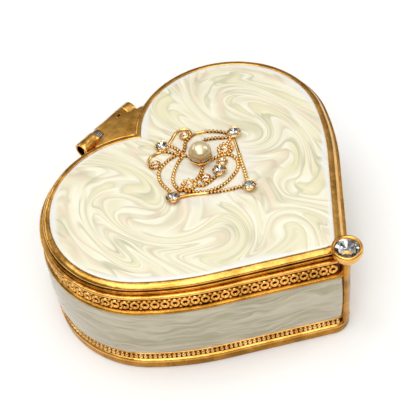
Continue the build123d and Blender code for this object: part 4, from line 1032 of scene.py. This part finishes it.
coil = Piece()
for k in range(3):
    # three spring washers, slightly dished, side by side
    xc = -5.66 + 0.49 * k
    V, F = revolve([(0.92, 0.05), (1.9, 0.02), (2.18, 0.06), (2.27, 0.17), (2.27, 0.32), (2.18, 0.42), (1.9, 0.46), (0.92, 0.43)],
                   56, (xc, HY, HZ), HX, loop=True)
    coil.add(V, F, 0)
coil.make("hinge_spring_coils", "case", [WASHER], "steel", ("hinge_spring_washer",))

# ---------------------------------------------------------------------------
# Jewelled tab
# ---------------------------------------------------------------------------
UP3 = (Vector((1, 0, 0)), Vector((0, 1, 0)), Vector((0, 0, 1)))
CY = -38.6


def brilliant(c, R, table, crown, pav, girdle=0.06, spin=0.0, n=8):
    """Round brilliant: table, stars, kites, girdle, pavilion mains; c is the girdle's centre."""
    cx, cy, cz = c
    V, F = [], []

    def put(r, a, z):
        V.append((cx + r * cos(a), cy + r * sin(a), cz + z))
        return len(V) - 1
    s = pi / n
    tb = [put(table, spin + 2 * s * k, crown) for k in range(n)]
    md = [put(table + (R - table) * 0.52, spin + 2 * s * k + s, crown * 0.55) for k in range(n)]
    gt = [put(R, spin + s * k, girdle / 2) for k in range(2 * n)]
    gb = [put(R, spin + s * k, -girdle / 2) for k in range(2 * n)]
    pm = [put(R * 0.32, spin + 2 * s * k + s, -pav * 0.74) for k in range(n)]
    cu = put(0.0, 0, -pav)
    F.append(tuple(tb))
    for k in range(n):
        k1 = (k + 1) % n
        F.append((tb[k], tb[k1], md[k]))
        F.append((tb[k], md[k - 1], gt[2 * k], md[k]))
        F.append((md[k], gt[2 * k], gt[2 * k + 1]))
        F.append((md[k], gt[2 * k + 1], gt[(2 * k + 2) % (2 * n)]))
        F.append((gb[2 * k], gb[2 * k + 1], pm[k]))
        F.append((gb[2 * k + 1], gb[(2 * k + 2) % (2 * n)], pm[k]))
        F.append((gb[2 * k], pm[k - 1], cu, pm[k]))
    for k in range(2 * n):
        k1 = (k + 1) % (2 * n)
        F.append((gt[k], gt[k1], gb[k1], gb[k]))
    return V, F


def foil_cup(c, R, pav, n=8, spin=0.0, gap=0.05):
    """Foiled back just under the pavilion: thin faceted cup."""
    cx, cy, cz = c
    V, F = [], []
    s = pi / n
    rows = []
    for r, z in ((R + 0.02, 0.0), (R * 0.32, -pav * 0.74), (0.02, -pav), (0.02, -pav - gap), (R * 0.32, -pav * 0.74 - gap), (R + 0.02, -gap)):
        row = []
        for k in range(2 * n):
            row.append((cx + r * cos(spin + s * k), cy + r * sin(spin + s * k), cz + z - gap))
        rows.append(np.array(row))
    V, F = loft(rows, closed=True, loop=True)
    # Painted reflection: about two faces in five take the second slot, the near-black shaded foil, as dark facets.
    return V, F, [1 if (i * 7 + (i // (2 * n)) * 3) % 5 < 2 else 0 for i in range(len(F))]


tab = Piece()
V, F = revolve([(0, 30.2), (1.9, 30.2), (2.4, 30.32), (2.85, 30.62), (3.2, 31.1), (3.48, 31.7), (3.68, 32.3), (3.78, 32.9), (3.8, 33.3),
                (3.76, 33.66), (3.62, 33.94), (3.4, 34.08), (3.18, 34.08), (3.02, 33.96), (2.94, 33.76), (2.9, 33.5),
                (2.88, 32.6), (2.7, 32.4), (0, 32.3)], 72, (0, CY, 0), UP3)
tab.add(V, F, 0)
# small collar that joins the cup to the rim
V, F = bevel_prism([(-2.3, -36.6), (-1.5, -33.6), (1.5, -33.6), (2.3, -36.6), (2.2, -38.2), (-2.2, -38.2)], 30.3, 32.35, 0.3)
tab.add(V, F, 0)
tab.make("tab_setting", "lid", [GOLD, GOLD_RECESS_SHADE], "antique_gold", ("clasp_bezel",))
st_ = Piece()
V, F = brilliant((0, CY, 33.62), 2.86, 1.62, 0.95, 1.1, 0.08, 0.2)
st_.add(V, F, 0)
st_.make("tab_crystal", "lid", [CRYSTAL], "clear_crystal", ("clasp_crystal",), sharp=5)
fo = Piece()
V, F, mi = foil_cup((0, CY, 33.58), 2.86, 1.1, 8, 0.2)
fo.add(V, F, mi)
fo.make("tab_crystal_foil", "lid", [FOIL, FOIL_DARK], "clear_crystal", sharp=5)

# ---------------------------------------------------------------------------
# Openwork ornament
# ---------------------------------------------------------------------------
STONES = [(-0.1, 19.5), (14.7, 7.0), (2.4, -7.8), (-11.8, 5.5), (2.1, 1.7)]
ACCENTS = [(6.7, 17.4), (-5.6, 16.9), (8.9, 5.6), (-1.7, 3.2), (-5.9, 5.2), (5.2, 3.4)]
WIRES = [
    ("b", [(0.3, 14.6), (-2.0, 15.2), (-4.2, 15.2), (-6.6, 14.7), (-8.6, 13.0), (-9.7, 10.9), (-10.1, 8.9), (-10.7, 7.0)]),
    ("b", [(1.0, 13.1), (-1.5, 12.6), (-4.0, 11.6), (-6.4, 10.2), (-7.8, 8.6), (-8.6, 6.4)]),
    ("b", [(1.6, 13.8), (3.2, 14.4), (5.0, 15.7), (7.0, 16.0)]),
    ("s", [(6.6, 16.0), (8.2, 15.9), (9.5, 15.4), (10.6, 14.5), (11.4, 13.7)]),
    ("b", [(11.2, 13.9), (12.9, 11.4), (14.0, 8.6)]),
    ("b", [(5.4, 11.0), (8.0, 12.2), (9.5, 11.4), (11.0, 9.9), (12.1, 8.4), (13.2, 7.4)]),
    ("s", [(-1.4, 18.8), (-2.6, 19.5), (-4.3, 19.8), (-6.0, 19.1), (-6.9, 17.6), (-6.9, 16.6)]),
    ("s", [(1.2, 18.8), (3.8, 19.5), (6.2, 20.1), (8.3, 19.4), (8.9, 17.8), (8.0, 16.0)]),
    ("b", [(-0.5, 18.0), (0.2, 16.0), (0.9, 13.2)]),
    ("b", [(1.7, 18.4), (1.8, 16.0), (1.3, 13.2), (1.9, 10.8)]),
    ("s", [(-10.4, 4.6), (-8.3, 2.9), (-5.2, -0.4)]),
    ("b", [(-5.2, -0.4), (-2.0, -3.4), (0.9, -5.6), (1.4, -6.4)]),
    ("s", [(13.3, 5.8), (11.6, 3.6), (9.8, 1.4)]),
    ("b", [(9.8, 1.4), (8.8, 0.2), (6.4, -2.8), (4.3, -5.3), (3.6, -6.4)]),
    ("b", [(-8.0, 4.4), (-5.6, 0.9), (-3.2, -1.0), (-0.5, -1.9), (2.6, -2.0), (5.6, -1.4), (7.7, 0.3), (8.3, 2.2),
           (7.9, 3.9), (6.4, 5.2), (4.4, 5.9)]),
    ("b", [(-4.8, 3.9), (-4.1, 2.3), (-2.9, 1.8), (-1.4, 1.6), (0.6, 1.4)]),
    ("b", [(-4.8, 4.4), (-3.0, 4.9), (-1.5, 5.1), (0.4, 6.0)]),
    ("b", [(-10.4, 5.8), (-8.6, 6.0), (-7.0, 5.6)]),
    ("b", [(-8.4, 5.6), (-7.2, 3.9), (-5.9, 3.7), (-4.6, 4.0)]),
    ("b", [(13.2, 6.8), (11.6, 6.4), (10.0, 5.9)]),
    ("b", [(7.0, 4.9), (7.6, 6.4), (8.9, 7.2), (10.4, 6.9), (11.2, 5.6), (10.4, 4.2), (8.9, 3.9), (7.4, 4.3)]),
    ("b", [(-4.4, 5.4), (-4.8, 6.5), (-5.9, 6.9), (-7.2, 6.4), (-7.6, 5.2)]),
]
TOPZ = 32.44
fil = Piece()
for kind, pts in WIRES:
    path = spline([(x, y) for x, y in pts])
    if kind == "s":
        P3 = [(x, y, TOPZ + 0.22 + 0.03 * sin(0.9 * x + y)) for x, y in path]
        V, F = tube(P3, 0.44, 10, flat=1.15)
        fil.add(V, F, 0)
    else:
        P3 = [(x, y, TOPZ + 0.06) for x, y in path]
        # Painted shade: the core tube under the beads is the near-black recess gold, darkening the gaps between beads.
        V, F = tube(P3, 0.27, 8)
        fil.add(V, F, 1)
        s = np.concatenate([[0], np.cumsum(np.linalg.norm(np.diff(path, axis=0), axis=1))])
        k = max(2, int(round(s[-1] / 0.94)))
        for t in np.linspace(0, s[-1], k + 1):
            x, y = np.interp(t, s, path[:, 0]), np.interp(t, s, path[:, 1])
            i = min(len(path) - 2, int(np.searchsorted(s, t)))
            d = path[i + 1] - path[max(i - 1, 0)]
            d = d / max(np.linalg.norm(d), 1e-6)
            ex = Vector((d[0], d[1], 0))
            fr = (ex, Vector((-d[1], d[0], 0)), Vector((0, 0, 1)))
            V, F = bead((x, y, TOPZ + 0.36 + rng.uniform(-0.02, 0.02)), fr, 0.42, 0.58, 0.54, 10, 6)
            fil.add(V, F, 0)
fil.make("filigree_wires", "lid", [GOLD_WIRE, GOLD_RECESS_SHADE], "antique_gold", ("filigree_crown",))

bz = Piece()
for i, (x, y) in enumerate(STONES):
    V, F = revolve([(0, 32.3), (1.15, 32.3), (1.3, 32.6), (1.55, 33.0), (1.78, 33.35), (1.86, 33.6), (1.82, 33.82), (1.7, 33.92),
                    (1.58, 33.86), (1.5, 33.7), (1.42, 33.5), (0.9, 33.1), (0, 33.0)], 32, (x, y, 0), UP3)
    bz.add(V, F, 0)
    for k in range(4):
        a = pi / 4 + k * pi / 2 + 0.3 * i
        fr = (Vector((cos(a), sin(a), 0)), Vector((-sin(a), cos(a), 0)), Vector((0, 0, 1)))
        V, F = bead((x + 1.58 * cos(a), y + 1.58 * sin(a), 33.86), fr, 0.30, 0.24, 0.26, 10, 6)
        bz.add(V, F, 0)
for i, (x, y) in enumerate(ACCENTS):
    V, F = revolve([(0, 32.3), (1.0, 32.3), (1.12, 32.7), (1.2, 33.0), (1.16, 33.16), (1.04, 33.2), (0.96, 33.1), (0.9, 32.95), (0, 32.8)],
                   28, (x, y, 0), UP3)
    bz.add(V, F, 0)
    for k in range(12):
        a = 2 * pi * k / 12
        fr = (Vector((cos(a), sin(a), 0)), Vector((-sin(a), cos(a), 0)), Vector((0, 0, 1)))
        V, F = bead((x + 1.3 * cos(a), y + 1.3 * sin(a), 32.86), fr, 0.28, 0.30, 0.30, 8, 6)
        bz.add(V, F, 0)
bz.make("stone_settings", "lid", [GOLD_WIRE], "antique_gold", ("stone_bezels",))

cs, cf = Piece(), Piece()
for i, (x, y) in enumerate(STONES):
    V, F = brilliant((x, y, 33.74), 1.52, 0.86, 0.66, 0.62, 0.06, 0.3 * i)
    cs.add(V, F, 0)
    V, F, mi = foil_cup((x, y, 33.71), 1.5, 0.6, 8, 0.3 * i)
    cf.add(V, F, mi)
cs.make("large_crystals", "lid", [CRYSTAL], "clear_crystal", ("corner_stones",), sharp=5)
cf.make("large_crystal_foils", "lid", [FOIL, FOIL_DARK], "clear_crystal", sharp=5)
as_, af = Piece(), Piece()
for i, (x, y) in enumerate(ACCENTS):
    V, F = brilliant((x, y, 33.1), 0.92, 0.52, 0.34, 0.28, 0.05, 0.4 * i)
    as_.add(V, F, 0)
    V, F, mi = foil_cup((x, y, 33.07), 0.9, 0.26, 8, 0.4 * i)
    af.add(V, F, 0)
as_.make("small_crystals", "lid", [BLUSH], "blush_crystal", ("accent_stones",), sharp=5)
af.make("small_crystal_foils", "lid", [ROSE_FOIL], "blush_crystal", sharp=5)

PX, PY, PZ, PR = 2.4, 8.1, 36.0, 3.0
pb = bmesh.new()
bmesh.ops.create_icosphere(pb, subdivisions=5, radius=1.0)
V = []
for v in pb.verts:
    d = v.co.normalized()
    k = 1 - 0.008 * (1 + sin(3.1 * d.x + 2 * d.y) * cos(2.3 * d.z + d.x))
    V.append((PX + d.x * PR * k, PY + d.y * PR * k, PZ + d.z * PR * k))
F = [tuple(v.index for v in f.verts) for f in pb.faces]
pb.free()
Piece().add(V, F, 0).make("pearl_bead", "lid", [PEARL], "pearl", ("pearl",), sharp=None)
cup = Piece()
V, F = revolve([(0, 32.3), (1.7, 32.3), (1.9, 32.5), (1.8, 32.75), (2.0, 33.1), (2.4, 33.5), (2.72, 33.95), (2.86, 34.3), (2.84, 34.5),
                (2.72, 34.56), (2.62, 34.46), (2.4, 34.1), (1.9, 33.5), (1.2, 33.05), (0, 32.9)], 48, (PX, PY, 0), UP3)
cup.add(V, F, 0)
V, F = torus((PX, PY, 34.42), UP3, 2.82, 0.2, 56, 8)
cup.add(V, F, 0)
cup.make("pearl_setting", "lid", [GOLD], "antique_gold", ("pearl_cup",))

# ---------------------------------------------------------------------------
# Everything inside and underneath keeps its CAD shape and gets a finish
# ---------------------------------------------------------------------------
FINISH = {
    "base_plate": BLACK, "base_screws": STEEL, "movement_bedplate": ZINC, "movement_screws": STEEL,
    "comb_base": ZINC, "comb": COMB_STEEL, "comb_screws": STEEL, "cylinder_bracket": ZINC, "wrap_spring": SPRING,
    "governor_bracket": BRASS, "stop_spring": SPRING, "guide_bush": BRASS, "cover_window": ACRYLIC,
    "cover_screws": STEEL, "body_magnet": MAGNET, "lid_magnet": MAGNET, "cylinder_sleeve": BRASS_SLEEVE,
    "cylinder_pins": STEEL, "cylinder_arbor": STEEL, "cylinder_pinion": BRASS, "cylinder_gear": NYLON,
    "spring_barrel": BRASS, "barrel_crown_gear": BRASS, "mainspring": SPRING, "winding_arbor": STEEL,
    "winding_key": BRASS, "governor_arbor": STEEL, "governor_pinion": BRASS, "worm_wheel": NYLON,
    "fan_worm": STEEL, "air_fan": NYLON, "stop_pin": STEEL,
}
for name, mt in FINISH.items():
    ob = NODES[name]
    if len(ob.material_slots) == 0:
        ob.data.materials.append(mt)
    for sl in ob.material_slots:
        sl.material = mt

# ---------------------------------------------------------------------------
# Floor, light, camera
# ---------------------------------------------------------------------------
fl = bpy.data.meshes.new("floor")
R = 1.6
fl.from_pydata([(-R, -R, 0), (R, -R, 0), (R, R, 0), (-R, R, 0)], [], [(0, 1, 2, 3)])
fl.materials.append(FLOOR)
flo = bpy.data.objects.new("floor", fl)
bpy.context.scene.collection.objects.link(flo)

w = bpy.data.worlds.new("studio")
bpy.context.scene.world = w
w.use_nodes = True
wt = w.node_tree
bg = wt.nodes["Background"]
tc = wt.nodes.new("ShaderNodeTexCoord")
sp = wt.nodes.new("ShaderNodeSeparateXYZ")
wt.links.new(tc.outputs["Generated"], sp.inputs[0])
cr = wt.nodes.new("ShaderNodeValToRGB")
el_ = cr.color_ramp.elements
el_[0].position, el_[0].color = 0.0, (0.85, 0.85, 0.85, 1)
el_[1].position, el_[1].color = 1.0, (0.75, 0.75, 0.76, 1)
for p_, c_ in ((0.05, 0.55), (0.12, 0.28), (0.40, 0.24), (0.54, 0.46), (0.66, 0.34), (0.80, 0.85), (0.92, 0.95)):
    e_ = el_.new(p_)
    e_.color = (c_, c_, c_, 1)
wt.links.new(sp.outputs["Z"], cr.inputs["Fac"])
wt.links.new(cr.outputs["Color"], bg.inputs["Color"])
bg.inputs["Strength"].default_value = 0.78


def area(name, loc, target, size, power, color=(1, 1, 1)):
    ld = bpy.data.lights.new(name, "AREA")
    ld.shape = "RECTANGLE"
    ld.size, ld.size_y = size
    ld.energy = power
    ld.color = color
    lo = bpy.data.objects.new(name, ld)
    lo.location = loc
    d = Vector(target) - Vector(loc)
    lo.rotation_euler = d.to_track_quat("-Z", "Y").to_euler()
    bpy.context.scene.collection.objects.link(lo)
    return lo


area("key", (-0.27, -0.25, 0.40), (0, 0, 0.02), (0.46, 0.36), 0.98, (1.0, 0.985, 0.96))
area("top", (-0.10, 0.06, 0.62), (0, 0, 0.02), (0.62, 0.62), 1.68, (1.0, 0.99, 0.97))
area("fill", (0.36, -0.20, 0.30), (0, 0, 0.02), (0.16, 0.30), 0.32, (0.97, 0.98, 1.0))
area("spark", (-0.085, 0.03, 0.55), (0, 0, 0.03), (0.09, 0.09), 0.17, (1.0, 0.99, 0.97))
area("back", (-0.05, 0.50, 0.26), (0, 0, 0.02), (0.40, 0.10), 0.22, (1.0, 1.0, 1.0))

az, elv, roll, dist = radians(-43.830), radians(49.012), radians(-8.412), 0.283083
back = Vector((sin(az) * cos(elv), -cos(az) * cos(elv), sin(elv)))
right = Vector((cos(az), sin(az), 0))
up = back.cross(right)
r2 = right * cos(roll) + up * sin(roll)
u2 = -right * sin(roll) + up * cos(roll)
cam = bpy.data.cameras.new("camera")
cam.lens, cam.sensor_width = 86.43, 36.0
cam.clip_start, cam.clip_end = 0.01, 20
co_ = bpy.data.objects.new("camera", cam)
loc = Vector((0.011642, 0.020323, 0.0)) + back * dist
M = Matrix(((r2.x, u2.x, back.x, loc.x), (r2.y, u2.y, back.y, loc.y), (r2.z, u2.z, back.z, loc.z), (0, 0, 0, 1)))
co_.matrix_world = M
bpy.context.scene.collection.objects.link(co_)
bpy.context.scene.camera = co_
bpy.context.scene.view_settings.view_transform = "Standard"
